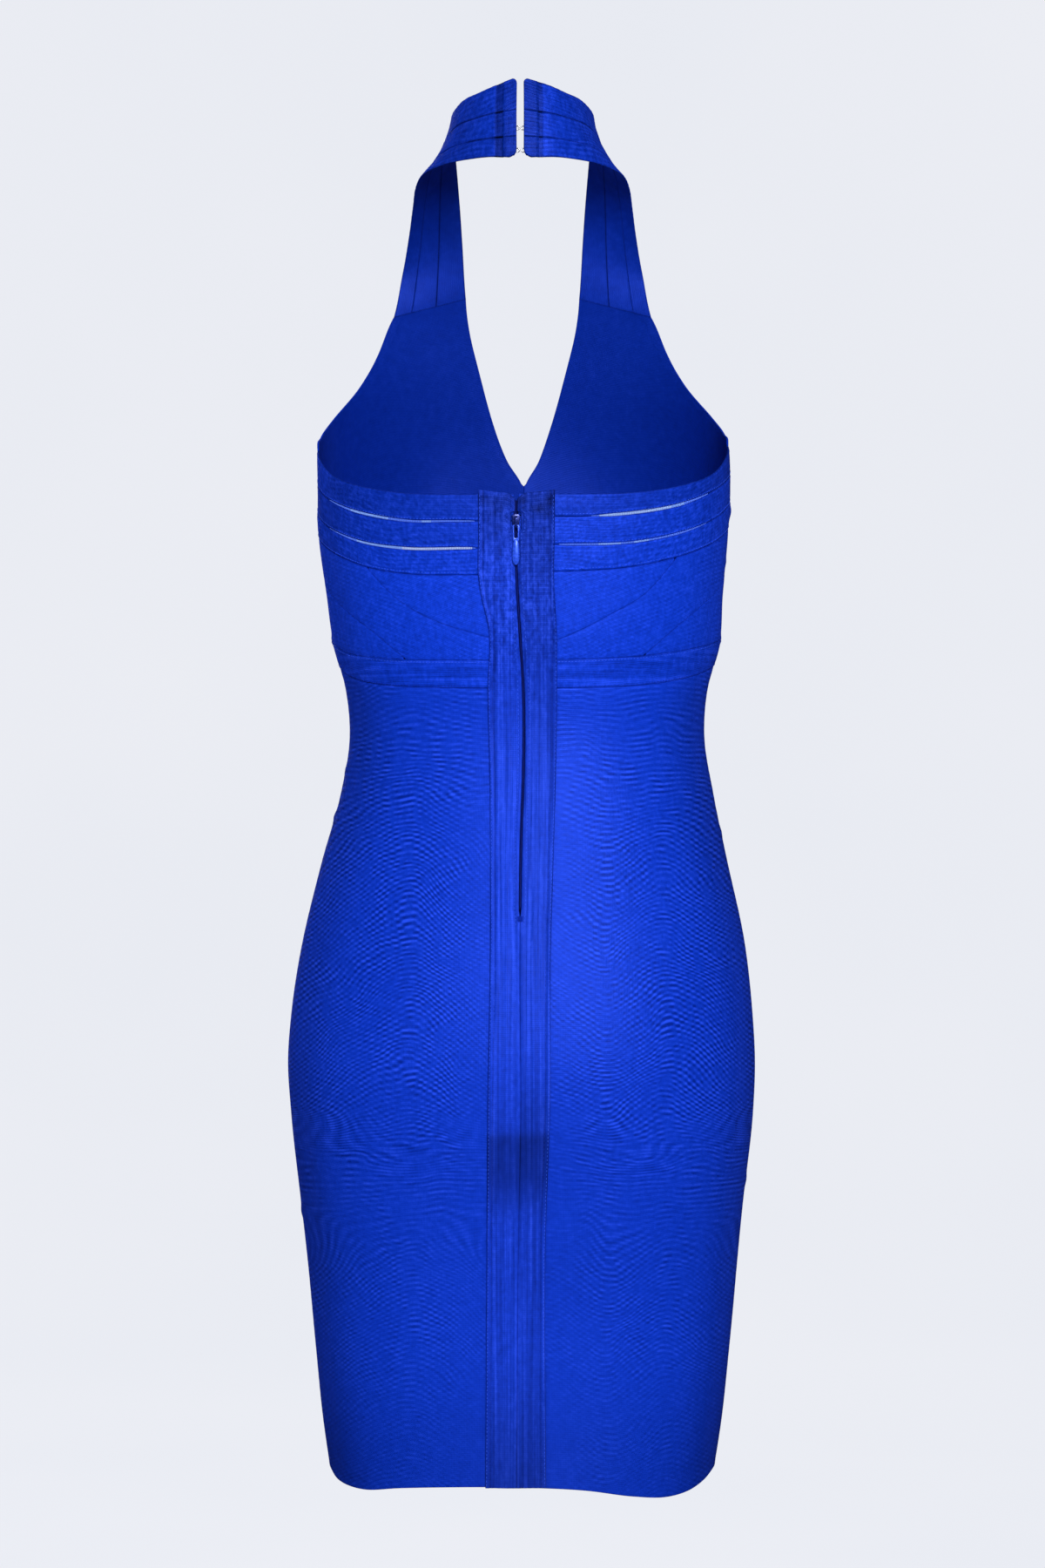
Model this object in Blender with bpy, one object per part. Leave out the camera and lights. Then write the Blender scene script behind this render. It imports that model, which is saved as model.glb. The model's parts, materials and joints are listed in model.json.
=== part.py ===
"""Halter-neck bandage dress, worn form, as separate cut-and-sewn cloth walls.

Frame: metres, +Z up. The garment faces -Y, its back is +Y, the wearer's left
is +X. The origin is the middle of the collar loop, where the neck carries it.

Every cloth piece is a wall on one figure surface, skin(turn, z): turn is the
angle in degrees from centre back (0) over the wearer's left side (+90) to
centre front (180), negative on the right. What shows is the outer face, the
wall goes inward from it, and what is sewn on top is the same surface moved out.
"""
import bpy
import bmesh
import numpy as np
from math import sin, cos, tan, atan2, radians, degrees, pi, exp
from mathutils import Vector, Matrix

MM = 0.001
CLOTH = 1.5 * MM          # bandage knit wall
GAP = 0.3 * MM            # clearance between neighbouring pieces at a seam
LAY = 0.4 * MM            # clearance under a piece sewn on top
SIDE_SEAM = 0.1           # degrees each piece stops short of the side seam

# ---------------------------------------------------------------- figure
# a plain general figure; rows from the neck down to the hem
# z, half_width, x_mid, y_side, y_front, y_back, squareness
FIGURE = (
    (0.040, 0.0470, 0.0000, 0.000, -0.050, 0.0525, 2.00),
    (0.020, 0.0480, 0.0000, 0.000, -0.052, 0.0570, 2.00),
    (0.000, 0.0505, 0.0000, 0.000, -0.054, 0.0605, 2.00),
    (-0.020, 0.0560, 0.0000, 0.000, -0.056, 0.0640, 2.05),
    (-0.040, 0.0720, 0.0000, 0.000, -0.058, 0.0690, 2.10),
    (-0.080, 0.1250, 0.0000, 0.000, -0.064, 0.0820, 2.20),
    (-0.120, 0.1500, 0.0000, 0.000, -0.080, 0.0900, 2.30),
    (-0.170, 0.1460, 0.0000, 0.000, -0.096, 0.0940, 2.30),
    (-0.217, 0.1443, 0.0000, 0.000, -0.106, 0.0940, 2.35),
    (-0.262, 0.1442, -0.0010, 0.000, -0.108, 0.0920, 2.35),
    (-0.286, 0.1436, -0.0005, 0.000, -0.107, 0.0905, 2.35),
    (-0.334, 0.1388, -0.0015, -0.001, -0.101, 0.0870, 2.30),
    (-0.370, 0.1350, -0.0028, -0.002, -0.094, 0.0835, 2.25),
    (-0.400, 0.1270, -0.0029, -0.003, -0.087, 0.0785, 2.20),
    (-0.431, 0.1243, -0.0032, -0.003, -0.083, 0.0760, 2.20),
    (-0.475, 0.1308, -0.0033, -0.001, -0.087, 0.0800, 2.20),
    (-0.522, 0.1421, -0.0015, 0.002, -0.095, 0.0910, 2.25),
    (-0.580, 0.1550, -0.0005, 0.004, -0.101, 0.1060, 2.35),
    (-0.628, 0.1612, 0.0004, 0.005, -0.102, 0.1150, 2.40),
    (-0.659, 0.1630, 0.0007, 0.005, -0.101, 0.1175, 2.40),
    (-0.694, 0.1613, 0.0003, 0.004, -0.100, 0.1155, 2.40),
    (-0.757, 0.1548, 0.0003, 0.001, -0.098, 0.1040, 2.35),
    (-0.802, 0.1501, 0.0000, 0.000, -0.096, 0.0960, 2.30),
    (-0.862, 0.1444, 0.0000, -0.001, -0.094, 0.0900, 2.30),
    (-0.908, 0.1397, 0.0001, -0.002, -0.092, 0.0870, 2.30),
    (-0.956, 0.1325, 0.0003, -0.002, -0.090, 0.0855, 2.30),
)
# the bodice's two cups: where each is fullest, its reach and its fullness
CUP_X, CUP_Z, CUP_REACH_X, CUP_REACH_Z, CUP_FULL = 0.074, -0.283, 0.072, 0.092, 0.016

# ---------------------------------------------------------------- seams
# heights of the back's seams from the placket (0) to the side seam (90)
# turn, top edge, slit 1, slit 2, strip 3 foot, band top, band foot
BACK_LEFT = (
    (0, -0.2696, -0.2880, -0.3062, -0.3245, -0.3823, -0.4013),
    (15, -0.2696, -0.2879, -0.3063, -0.3245, -0.3823, -0.4012),
    (30, -0.2684, -0.2872, -0.3061, -0.3237, -0.3820, -0.4006),
    (45, -0.2632, -0.2815, -0.3015, -0.3185, -0.3805, -0.3993),
    (60, -0.2547, -0.2728, -0.2925, -0.3093, -0.3775, -0.3957),
    (75, -0.2425, -0.2630, -0.2825, -0.2995, -0.3720, -0.3897),
    (90, -0.2330, -0.2545, -0.2745, -0.2925, -0.3660, -0.3840),
)
BACK_RIGHT = (
    (0, -0.2690, -0.2842, -0.3032, -0.3222, -0.3820, -0.4013),
    (15, -0.2694, -0.2848, -0.3037, -0.3218, -0.3818, -0.4011),
    (30, -0.2681, -0.2822, -0.3022, -0.3190, -0.3800, -0.3999),
    (45, -0.2627, -0.2758, -0.2955, -0.3118, -0.3768, -0.3972),
    (60, -0.2535, -0.2655, -0.2855, -0.3025, -0.3722, -0.3925),
    (75, -0.2400, -0.2555, -0.2755, -0.2930, -0.3680, -0.3872),
    (90, -0.2300, -0.2480, -0.2680, -0.2865, -0.3655, -0.3835),
)
TOP, SLIT_1, SLIT_2, FOOT_3, BAND_TOP, BAND_FOOT = 1, 2, 3, 4, 5, 6
# how high the slits stand open: side, slit, then turn and height (mm)
SLIT_OPEN = {
    (1, 1): ((0, 0), (11.8, 0), (13.5, 0.8), (33, 1.4), (50, 1.3), (66, 0), (90, 0)),
    (1, 2): ((0, 0), (11.8, 0), (13.5, 1.6), (33, 1.6), (46, 1.3), (66, 0), (90, 0)),
    (-1, 1): ((0, 0), (19.0, 0), (25.0, 1.5), (33, 1.7), (48, 1.5), (60, 0), (90, 0)),
    (-1, 2): ((0, 0), (10.5, 0), (12.5, 1.0), (33, 0.9), (45, 1.1), (60, 0), (90, 0)),
}
# the two diagonal seams of each upper back panel: turn, left height, right height
DIAGONAL_A = ((0, -0.3715, -0.3760), (13, -0.3640, -0.3655), (26, -0.3535, -0.3500),
              (36, -0.3400, -0.3360), (46, -0.3180, -0.3112))
DIAGONAL_B = ((36, -0.3814, -0.3790), (46, -0.3635, -0.3610), (58, -0.3492, -0.3450),
              (75, -0.3330, -0.3300), (90, -0.3210, -0.3180))
# the same two seams of the band on the front: turn, band top, band foot
FRONT_MID = ((90, 0.0000, 0.0000), (120, -0.0040, -0.0045), (150, -0.0075, -0.0085),
             (180, -0.0090, -0.0100))
# hem height all round: turn, height
HEM = ((-180, -0.9480), (-135, -0.9470), (-90, -0.9432), (-76, -0.9440),
       (-66, -0.9492), (-56, -0.9540), (-46, -0.9560), (-34, -0.9536),
       (-20, -0.9484), (0, -0.9457), (20, -0.9462), (36, -0.9485),
       (50, -0.9519), (60, -0.9511), (70, -0.9484), (78, -0.9442),
       (90, -0.9432), (135, -0.9470), (180, -0.9480))
# centre-back placket: height, left edge x, zip line x, right edge x
PLACKET = (
    (-0.2660, 0.0300, 0.0042, -0.0219),
    (-0.3010, 0.0300, 0.0045, -0.0217),
    (-0.3250, 0.0300, 0.0040, -0.0214),
    (-0.3440, 0.0268, 0.0030, -0.0222),
    (-0.3580, 0.0234, 0.0022, -0.0231),
    (-0.4010, 0.0236, -0.0005, -0.0235),
    (-0.4650, 0.0222, -0.0005, -0.0226),
    (-0.5000, 0.0219, 0.0008, -0.0216),
    (-0.5880, 0.0219, 0.0018, -0.0190),
    (-0.6780, 0.0234, 0.0012, -0.0187),
    (-0.7800, 0.0241, 0.0028, -0.0156),
    (-0.9457, 0.0252, 0.0041, -0.0160),
)
ZIP_END = -0.5560         # foot of the zip chain
ZIP_HALF = 1.5 * MM       # half the opening between the back panels, over the zip
GROOVE_HALF = 0.8 * MM    # half the groove between the placket strips, over the zip
POCKET_HALF = 3.3 * MM    # half its width where it parts round the slider
POCKET = (-0.2945, -0.2824)   # foot and top of that pocket
# top edge of the placket strips: x from the zip line outward (share), height
PLACKET_TOP = ((0.0, -0.2728), (0.12, -0.2702), (0.5, -0.2682), (1.0, -0.2668))

# column and row stations of the grids
TURNS = (0, 9, 19, 30, 42, 54, 66, 78, 90)
SKIRT_ROWS = (0, .045, .10, .16, .22, .278, .294, .35, .41, .47, .53, .60, .68, .76, .84, .92, 1)
YOKE_ROWS = (0, .5, 1)
STRIP_ROWS = (0, 1)
FRONT_TURNS = (90, 100, 112, 124, 136, 148, 160, 170, 180)

# ---------------------------------------------------------------- halter
# strap sections from the nape to the chest: upper (neck) edge, lower (outer) edge,
# and how far the strap's middle stands out (it hollows in where it leaves the neck)
# upper x, y, z, lower x, y, z, bulge_mm
HALTER = (
    (0.0042, 0.0580, 0.0180, 0.0042, 0.0672, -0.0370, 1.0),
    (0.0180, 0.0555, 0.0141, 0.0210, 0.0650, -0.0368, 1.0),
    (0.0300, 0.0478, 0.0102, 0.0365, 0.0565, -0.0370, 0.8),
    (0.0400, 0.0345, 0.0078, 0.0510, 0.0435, -0.0378, -0.6),
    (0.0465, 0.0190, 0.0040, 0.0625, 0.0270, -0.0394, -2.6),
    (0.0498, 0.0025, 0.0000, 0.0715, 0.0040, -0.0418, -4.2),
    (0.0495, -0.0170, -0.0100, 0.0760, -0.0190, -0.0475, -3.6),
    (0.0475, -0.0370, -0.0265, 0.0785, -0.0410, -0.0590, -2.0),
    (0.0450, -0.0560, -0.0530, 0.0815, -0.0600, -0.0770, -0.4),
    (0.0430, -0.0700, -0.0820, 0.0860, -0.0720, -0.1010, 0.5),
)
# shares across the strap where its three strips are sewn together
HALTER_SEAMS = (0.0, 0.40, 0.74, 1.0)
# the foot corner of each half's end is rounded
CORNER = 6.0 * MM
# how far each half's end is from x = 0; the nape gap lies a little to the left
HALTER_START = {1: 0.0040, -1: 0.0008}
WIRE = 0.35 * MM          # radius of the hook and eye wire
BEND = 1.3 * MM           # radius that the wire's end is bent to
# front bodice sections from the strap's end down to the under-bust band:
# neck edge turn, z, outer edge turn, z
CUP = (
    (164.4, -0.1180, 144.3, -0.1320),
    (166.1, -0.1500, 137.4, -0.1600),
    (168.8, -0.1800, 128.0, -0.1870),
    (171.9, -0.2080, 115.0, -0.2080),
    (175.4, -0.2320, 102.0, -0.2220),
    (179.9, -0.2530, 90.0, -0.2330),
    (180.0, -0.2820, 90.0, -0.2750),
    (180.0, -0.3120, 90.0, -0.3080),
    (180.0, -0.3430, 90.0, -0.3380),
    (180.0, -0.3750, 90.0, -0.3660),
)
CUP_SHARES = (0, .125, .25, .375, .5, .625, .75, .875, 1)
HALTER_STATIONS = 20

COLOURS = {
    "knit": ((0.004, 0.028, 0.48, 1), 0.55, 0.0),
    "placket": ((0.006, 0.025, 0.40, 1), 0.60, 0.0),
    "zip_cloth": ((0.002, 0.008, 0.14, 1), 0.70, 0.0),
    "zip_paint": ((0.03, 0.09, 0.75, 1), 0.25, 0.3),
    "wire": ((0.62, 0.63, 0.66, 1), 0.30, 1.0),
}


def material(name):
    found = bpy.data.materials.get(name)
    if found:
        return found
    colour, rough, metal = COLOURS[name]
    found = bpy.data.materials.new(name)
    found.use_nodes = True
    shader = found.node_tree.nodes["Principled BSDF"]
    shader.inputs["Base Color"].default_value = colour
    shader.inputs["Roughness"].default_value = rough
    shader.inputs["Metallic"].default_value = metal
    return found


# ---------------------------------------------------------------- curves
def smooth(xs, ys):
    """A smooth curve through (xs, ys), xs rising; flat outside."""
    xs, ys = np.array(xs, float), np.array(ys, float)
    h = np.diff(xs)
    d = (np.diff(ys, axis=0).T / h).T
    m = np.zeros_like(ys)
    m[0], m[-1] = d[0], d[-1]
    for i in range(1, len(xs) - 1):
        m[i] = (d[i - 1] * h[i] + d[i] * h[i - 1]) / (h[i - 1] + h[i])

    def value(x):
        x = min(max(x, xs[0]), xs[-1])
        i = int(min(max(np.searchsorted(xs, x) - 1, 0), len(xs) - 2))
        t = (x - xs[i]) / h[i]
        return ((2 * t**3 - 3 * t**2 + 1) * ys[i] + (t**3 - 2 * t**2 + t) * h[i] * m[i]
                + (3 * t**2 - 2 * t**3) * ys[i + 1] + (t**3 - t**2) * h[i] * m[i + 1])
    return value


def column(table, key, value):
    rows = sorted(table, key=lambda r: r[key])
    return smooth([r[key] for r in rows], [r[value] for r in rows])


HALF, MID, SIDE, FRONT, BACK, SQUARE = (column(FIGURE, 0, k) for k in range(1, 7))
SEAMS = {s: {k: column(t, 0, k) for k in range(1, 7)} for s, t in ((1, BACK_LEFT), (-1, BACK_RIGHT))}
DIAG_A = {1: column(DIAGONAL_A, 0, 1), -1: column(DIAGONAL_A, 0, 2)}
DIAG_B = {1: column(DIAGONAL_B, 0, 1), -1: column(DIAGONAL_B, 0, 2)}
DROP = {BAND_TOP: column(FRONT_MID, 0, 1), BAND_FOOT: column(FRONT_MID, 0, 2)}
HEM_Z = column(HEM, 0, 1)
EDGE_X = {1: column(PLACKET, 0, 1), -1: column(PLACKET, 0, 3)}
ZIP_X = column(PLACKET, 0, 2)


def seam(side, which, turn):
    """Height of one of the back's seams, or of the band's on the front."""
    if turn <= 90:
        return SEAMS[side][which](turn)
    return SEAMS[side][which](90) + DROP[which](turn)


# ---------------------------------------------------------------- surface
def point(turn, z):
    a, xm, ys, yf, yb, n = HALF(z), MID(z), SIDE(z), FRONT(z), BACK(z), SQUARE(z)
    s, c = sin(radians(turn)), cos(radians(turn))
    r = (abs(s)**n + abs(c)**n)**(-1 / n)
    x = a * s * r
    y = ys + ((yb - ys) if c > 0 else (ys - yf)) * c * r
    if c < 0:
        d = ((abs(x) - CUP_X) / CUP_REACH_X)**2 + ((z - CUP_Z) / CUP_REACH_Z)**2
        y -= CUP_FULL * exp(-1.6 * d) * min(1, -3 * c)
    return Vector((xm + x, y, z))


def skin(turn, z, out=0.0):
    """Point on the garment's outer face, moved out along its normal."""
    p = point(turn, z)
    if out == 0:
        return p
    across = point(turn + 0.5, z) - point(turn - 0.5, z)
    up = point(turn, z + 0.001) - point(turn, z - 0.001)
    return p + out * up.cross(across).normalized()


def turn_at(x, z):
    """The turn on the back where the surface has this x."""
    a, n = HALF(z), SQUARE(z)
    q = min(abs(x - MID(z)) / a, 0.9999)**n
    t = degrees(atan2((q / (1 - q))**(1 / n), 1))
    return t if x > MID(z) else -t


def opening_half(z):
    """Half the gap between the back panels: wide over the zip, a seam below."""
    k = min(max((ZIP_END + 0.004 - z) / 0.007, 0), 1)
    return ZIP_HALF + (GAP / 2 - ZIP_HALF) * k


def back_turn(side, turn, z):
    """Nominal turn 0..90 stretched to run from the zip line to the side seam."""
    inner = side * turn_at(ZIP_X(z) + side * opening_half(z), z)
    return side * (inner + turn * (90 - SIDE_SEAM - inner) / 90)


# ---------------------------------------------------------------- meshes
def finish(name, mat, verts, faces):
    mesh = bpy.data.meshes.new(name)
    mesh.from_pydata([tuple(v) for v in verts], [], faces)
    mesh.update()
    bm = bmesh.new()
    bm.from_mesh(mesh)
    bmesh.ops.triangulate(bm, faces=[f for f in bm.faces if len(f.verts) > 4])
    bmesh.ops.recalc_face_normals(bm, faces=bm.faces)
    if bm.calc_volume(signed=True) < 0:
        bmesh.ops.reverse_faces(bm, faces=bm.faces)
    bm.to_mesh(mesh)
    bm.free()
    mesh.shade_smooth()
    mesh.set_sharp_from_angle(angle=radians(40))
    mesh.materials.append(material(mat))
    ob = bpy.data.objects.new(name, mesh)
    bpy.context.scene.collection.objects.link(ob)
    return ob


def wall(name, mat, outer, inner):
    """A closed wall between two grids of the same rows and columns."""
    rows, cols = len(outer), len(outer[0])
    verts = [p for row in outer for p in row] + [p for row in inner for p in row]
    n = rows * cols

    def o(i, j):
        return i * cols + j
    faces = []
    for i in range(rows - 1):
        for j in range(cols - 1):
            a, b, c, d = o(i, j), o(i, j + 1), o(i + 1, j + 1), o(i + 1, j)
            # both faces are cut along the same diagonal, so the wall stays even
            faces += [(a, b, c), (a, c, d), (n + c, n + b, n + a), (n + d, n + c, n + a)]
    rim = ([o(0, j) for j in range(cols)] + [o(i, cols - 1) for i in range(1, rows)]
           + [o(rows - 1, j) for j in range(cols - 2, -1, -1)]
           + [o(i, 0) for i in range(rows - 2, 0, -1)])
    for k, a in enumerate(rim):
        b = rim[(k + 1) % len(rim)]
        faces += [(b, a, n + a, n + b)]
    return finish(name, mat, verts, faces)


def panel(name, mat, stations, rows, place, high, low, top_gap=GAP / 2, foot_gap=GAP / 2,
          out=0.0, thick=CLOTH):
    """A wall on the figure. stations are nominal turns, rows are shares from the
    upper seam to the lower one, place(turn, z) gives the true turn."""
    outer, inner = [], []
    for v in rows:
        ro, ri = [], []
        for q in stations:
            zt = high(q) - (top_gap(q) if callable(top_gap) else top_gap)
            zl = low(q) + (foot_gap(q) if callable(foot_gap) else foot_gap)
            z = zt + v * (zl - zt)
            t = place(q, z)
            ro.append(skin(t, z, out))
            ri.append(skin(t, z, out - thick))
        outer.append(ro)
        inner.append(ri)
    return wall(name, mat, outer, inner)


def slit_half(side, which):
    """Half the height of a slit: closed at the placket and near the side seam."""
    rows = SLIT_OPEN[side, which]

    def half(turn):
        for (t0, h0), (t1, h1) in zip(rows, rows[1:]):
            if turn <= t1:
                return max(GAP, (h0 + (h1 - h0) * (turn - t0) / (t1 - t0)) * MM) / 2
        return GAP / 2
    return half


# ---------------------------------------------------------------- halter
def cup_edge(side, v):
    """Neck edge (turn, z) and outer edge (turn, z) of the front bodice at v rows."""
    i = int(min(max(v, 0), len(CUP) - 1.001))
    f = v - i
    row = [a + f * (b - a) for a, b in zip(CUP[i], CUP[i + 1])]
    foot = min(max((v - 5) / (len(CUP) - 6), 0), 1)
    row[3] += foot * (seam(side, BAND_TOP, 90) - CUP[-1][3])
    row[3] += (1 - foot) * (seam(side, TOP, 90) - CUP[5][3]) * min(v / 5, 1)
    row[1] += foot * (seam(side, BAND_TOP, 180) - CUP[-1][1])
    return row


def cup_point(side, share, v, out=0.0):
    it, iz, ot, oz = cup_edge(side, v)
    t, z = it + share * (ot - it), iz + share * (oz - iz)
    if v > 5:      # the foot of the bodice follows the band's upper seam
        foot = ((v - 5) / (len(CUP) - 6))**2
        z += foot * (seam(side, BAND_TOP, t) - z)
    return skin(side * t, z, out)


BULGE = smooth(range(len(HALTER) + 2), [r[6] for r in HALTER] + [0, 0])


def halter_net(side, shares):
    """Points of the strap's face at each section, one curve per share across."""
    curves = []
    for f in shares:
        pts = []
        for ux, uy, uz, lx, ly, lz, _ in HALTER:
            u, l = Vector((ux, uy, uz)), Vector((lx, ly, lz))
            pts.append(u.lerp(l, f))
        corner = max(1 - (1 - f) * 0.056 / CORNER, 0)
        pts[0].x = HALTER_START[side] + CORNER * (1 - (1 - corner**2)**0.5)
        pts.append(cup_point(1, f, 0))
        pts.append(cup_point(1, f, 1))
        pts = [Vector((side * p.x, p.y, p.z)) for p in pts]
        mid = [0.0]
        for a, b in zip(pts, pts[1:]):
            mid.append(mid[-1] + 1.0)
        curves.append(smooth(mid, [tuple(p) for p in pts]))
    return curves


def halter_point(side, share, u):
    """The strap's face: share 0 at the neck edge, 1 at the outer edge; u counts sections."""
    return Vector(halter_net(side, (share,))[0](u))


def halter_skin(side, share, u, out=0.0):
    e = 0.02
    s0, s1 = max(share - e, 0), min(share + e, 1)
    across = halter_point(side, s1, u) - halter_point(side, s0, u)
    along = halter_point(side, share, u + e) - halter_point(side, share, u - e) if u > e else (
        halter_point(side, share, u + e) - halter_point(side, share, u))
    n = along.cross(across).normalized() * side
    bulge = float(BULGE(u)) * MM * 4 * share * (1 - share)
    return halter_point(side, share, u) + (out + bulge) * n


def halter_strip(name, side, k):
    """One of the three strips of a collar half, k from the neck edge outward."""
    end = len(HALTER) - 0.005
    trim = GAP / 2 / 0.055
    lo = HALTER_SEAMS[k] + (trim if k > 0 else 0)
    hi = HALTER_SEAMS[k + 1] - (trim if k < 2 else 0)
    outer, inner = [], []
    for i in range(HALTER_STATIONS + 1):
        u = end * i / HALTER_STATIONS
        shares = (lo, hi) if k < 2 else (lo, 0.87, 0.94, 0.98, hi)
        outer.append([halter_skin(side, f, u) for f in shares])
        inner.append([halter_skin(side, f, u, -CLOTH) for f in shares])
    return wall(name, "knit", outer, inner)


def collar_end(name, side):
    """The turned-in end of a collar half, on its inner face."""
    outer, inner = [], []
    for i in range(3):
        u = 0.02 + 1.05 * i / 2
        shares = (0.03, 1 / 3, 2 / 3, 0.85, 0.93, 0.97)
        outer.append([halter_skin(side, f, u, -CLOTH - LAY) for f in shares])
        inner.append([halter_skin(side, f, u, -CLOTH - LAY - 1.0 * MM) for f in shares])
    return wall(name, "knit", outer, inner)


def wire(name, path, radius, sides=6, mat="wire"):
    """A bent wire along a list of points, as a closed tube."""
    path = [Vector(p) for p in path]
    verts, faces = [], []
    # the wires lie across the nape, so +Y is square to their path all along
    up = Vector((0, 1, 0))
    for i, p in enumerate(path):
        d = (path[min(i + 1, len(path) - 1)] - path[max(i - 1, 0)]).normalized()
        side = d.cross(up).normalized()
        other = d.cross(side).normalized()
        for k in range(sides):
            a = 2 * pi * k / sides
            verts.append(p + radius * (cos(a) * side + sin(a) * other))
    for i in range(len(path) - 1):
        for k in range(sides):
            a, b = i * sides + k, i * sides + (k + 1) % sides
            faces.append((a, b, b + sides, a + sides))
    faces.append(tuple(range(sides)))
    faces.append(tuple(range((len(path) - 1) * sides, len(path) * sides)))
    return finish(name, mat, verts, faces)


# ---------------------------------------------------------------- zip
SLIDER_Z, PULL_PIVOT_DOWN = -0.2884, 2.6 * MM
PLATE_W, PLATE_H, PLATE_T = 5.8 * MM, 10.0 * MM, 1.2 * MM
SLIDER_OUT = 0.6 * MM     # the plate's back over the back panels' face
BRIDGE_W, BRIDGE_ROOM, BRIDGE_T = 2.0 * MM, 1.9 * MM, 0.8 * MM
STEM_W, STEM_DEEP = 0.9 * MM, 1.7 * MM
PULL_BAR, PULL_LOOP_W, PULL_LOOP_L = 0.9 * MM, 4.6 * MM, 9.0 * MM
PULL_W, PULL_L, PULL_T = 5.0 * MM, 26.8 * MM, 0.9 * MM


def slab(outline, y0, y1):
    """An outline of (x, z) points extruded from y0 to y1."""
    n = len(outline)
    verts = [(x, y0, z) for x, z in outline] + [(x, y1, z) for x, z in outline]
    faces = [tuple(range(n)), tuple(range(2 * n - 1, n - 1, -1))]
    faces += [(i, (i + 1) % n, n + (i + 1) % n, n + i) for i in range(n)]
    return verts, faces


def side_slab(outline, x0, x1):
    """An outline of (y, z) points extruded from x0 to x1."""
    n = len(outline)
    verts = [(x0, y, z) for y, z in outline] + [(x1, y, z) for y, z in outline]
    faces = [tuple(range(n)), tuple(range(2 * n - 1, n - 1, -1))]
    faces += [(i, (i + 1) % n, n + (i + 1) % n, n + i) for i in range(n)]
    return verts, faces


def boolean(ob, other, kind):
    mod = ob.modifiers.new(kind, "BOOLEAN")
    mod.operation = kind
    mod.solver = "EXACT"
    mod.object = other
    other.hide_render = True
    other.display_type = "WIRE"


def arc(cx, cz, r, a0, a1, n):
    return [(cx + r * cos(radians(a0 + (a1 - a0) * i / n)), cz + r * sin(radians(a0 + (a1 - a0) * i / n)))
            for i in range(n + 1)]


def slider():
    w, h = PLATE_W / 2, PLATE_H / 2
    # shield-shaped plate: wide shoulders, narrower foot
    outline = (arc(-w + 1.6 * MM, h - 1.6 * MM, 1.6 * MM, 180, 90, 3)
               + arc(w - 1.6 * MM, h - 1.6 * MM, 1.6 * MM, 90, 0, 3)
               + arc(w - 2.0 * MM, -h + 1.2 * MM, 1.2 * MM, 0, -90, 3)
               + arc(-w + 2.0 * MM, -h + 1.2 * MM, 1.2 * MM, -90, -180, 3))
    ob = finish("zip_slider", "zip_paint", *slab(outline, 0, PLATE_T))
    top = PLATE_T + BRIDGE_ROOM + BRIDGE_T
    z0, z1, leg = -h + 0.5 * MM, h - 1.0 * MM, 0.9 * MM
    bridge = [(PLATE_T - 0.4 * MM, z0), (top - 0.7 * MM, z0), (top, z0 + 0.9 * MM),
              (top, z1 - 1.6 * MM), (top - 1.2 * MM, z1), (PLATE_T - 0.4 * MM, z1),
              (PLATE_T - 0.4 * MM, z1 - leg - 0.9 * MM), (PLATE_T, z1 - leg - 0.9 * MM),
              (PLATE_T + BRIDGE_ROOM, z1 - leg - 1.7 * MM), (PLATE_T + BRIDGE_ROOM, z0 + leg),
              (PLATE_T, z0 + leg), (PLATE_T - 0.4 * MM, z0 + leg)]
    # the bridge is a C on its side: two legs on the plate and a bar over them
    legs = finish("slider_bridge", "zip_paint", *side_slab(bridge, -BRIDGE_W / 2, BRIDGE_W / 2))
    stem = finish("slider_stem", "zip_paint", *slab(
        [(-STEM_W / 2, -3 * MM), (STEM_W / 2, -3 * MM), (STEM_W / 2, 4 * MM), (-STEM_W / 2, 4 * MM)],
        -STEM_DEEP, 0.4 * MM))
    boolean(ob, legs, "UNION")
    boolean(ob, stem, "UNION")
    return ob, (legs, stem)


def pull():
    w, lw = PULL_W / 2, PULL_LOOP_W / 2
    bar = PULL_BAR / 2
    t = PULL_T / 2
    neck = -PULL_LOOP_L - 1.6 * MM
    outline = ([(-lw, bar), (lw, bar), (lw, neck + 1.2 * MM), (lw - 1.0 * MM, neck), (w, neck - 1.6 * MM)]
               + arc(0, -PULL_L + w, w, 0, -180, 8)
               + [(-w, neck - 1.6 * MM), (-lw + 1.0 * MM, neck), (-lw, neck + 1.2 * MM)])
    ob = finish("zip_pull", "zip_paint", *slab(outline, -t, t))
    hole = lw - 0.9 * MM
    window = finish("pull_window", "zip_paint", *slab(
        [(-hole, -bar), (hole, -bar), (hole, -PULL_LOOP_L + 0.8 * MM), (hole - 0.8 * MM, -PULL_LOOP_L),
         (-hole + 0.8 * MM, -PULL_LOOP_L), (-hole, -PULL_LOOP_L + 0.8 * MM)], -2 * t, 2 * t))
    boolean(ob, window, "DIFFERENCE")
    return ob, window


def placket(name, side, levels):
    """A strip on top of the back panels from its top edge to the hem."""
    def top(f):
        fs = [r[0] for r in PLACKET_TOP]
        return smooth(fs, [r[1] for r in PLACKET_TOP])(f)
    outer, inner = [], []
    for k, level in enumerate(levels):
        ro, ri = [], []
        for f in (0, 0.12, 0.5, 1.0):
            z = level
            if k == 0:
                z = top(f)
            half = GROOVE_HALF + (GAP / 2 - GROOVE_HALF) * min(max((ZIP_END + 0.004 - z) / 0.007, 0), 1)
            if POCKET[0] <= z <= POCKET[1]:
                half = POCKET_HALF
            x0 = ZIP_X(z) + side * half
            x = x0 + f * (EDGE_X[side](z) - x0)
            t = turn_at(x, z)
            ro.append(skin(t, z, LAY + CLOTH))
            ri.append(skin(t, z, LAY))
        outer.append(ro)
        inner.append(ri)
    return wall(name, "placket", outer, inner)


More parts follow.
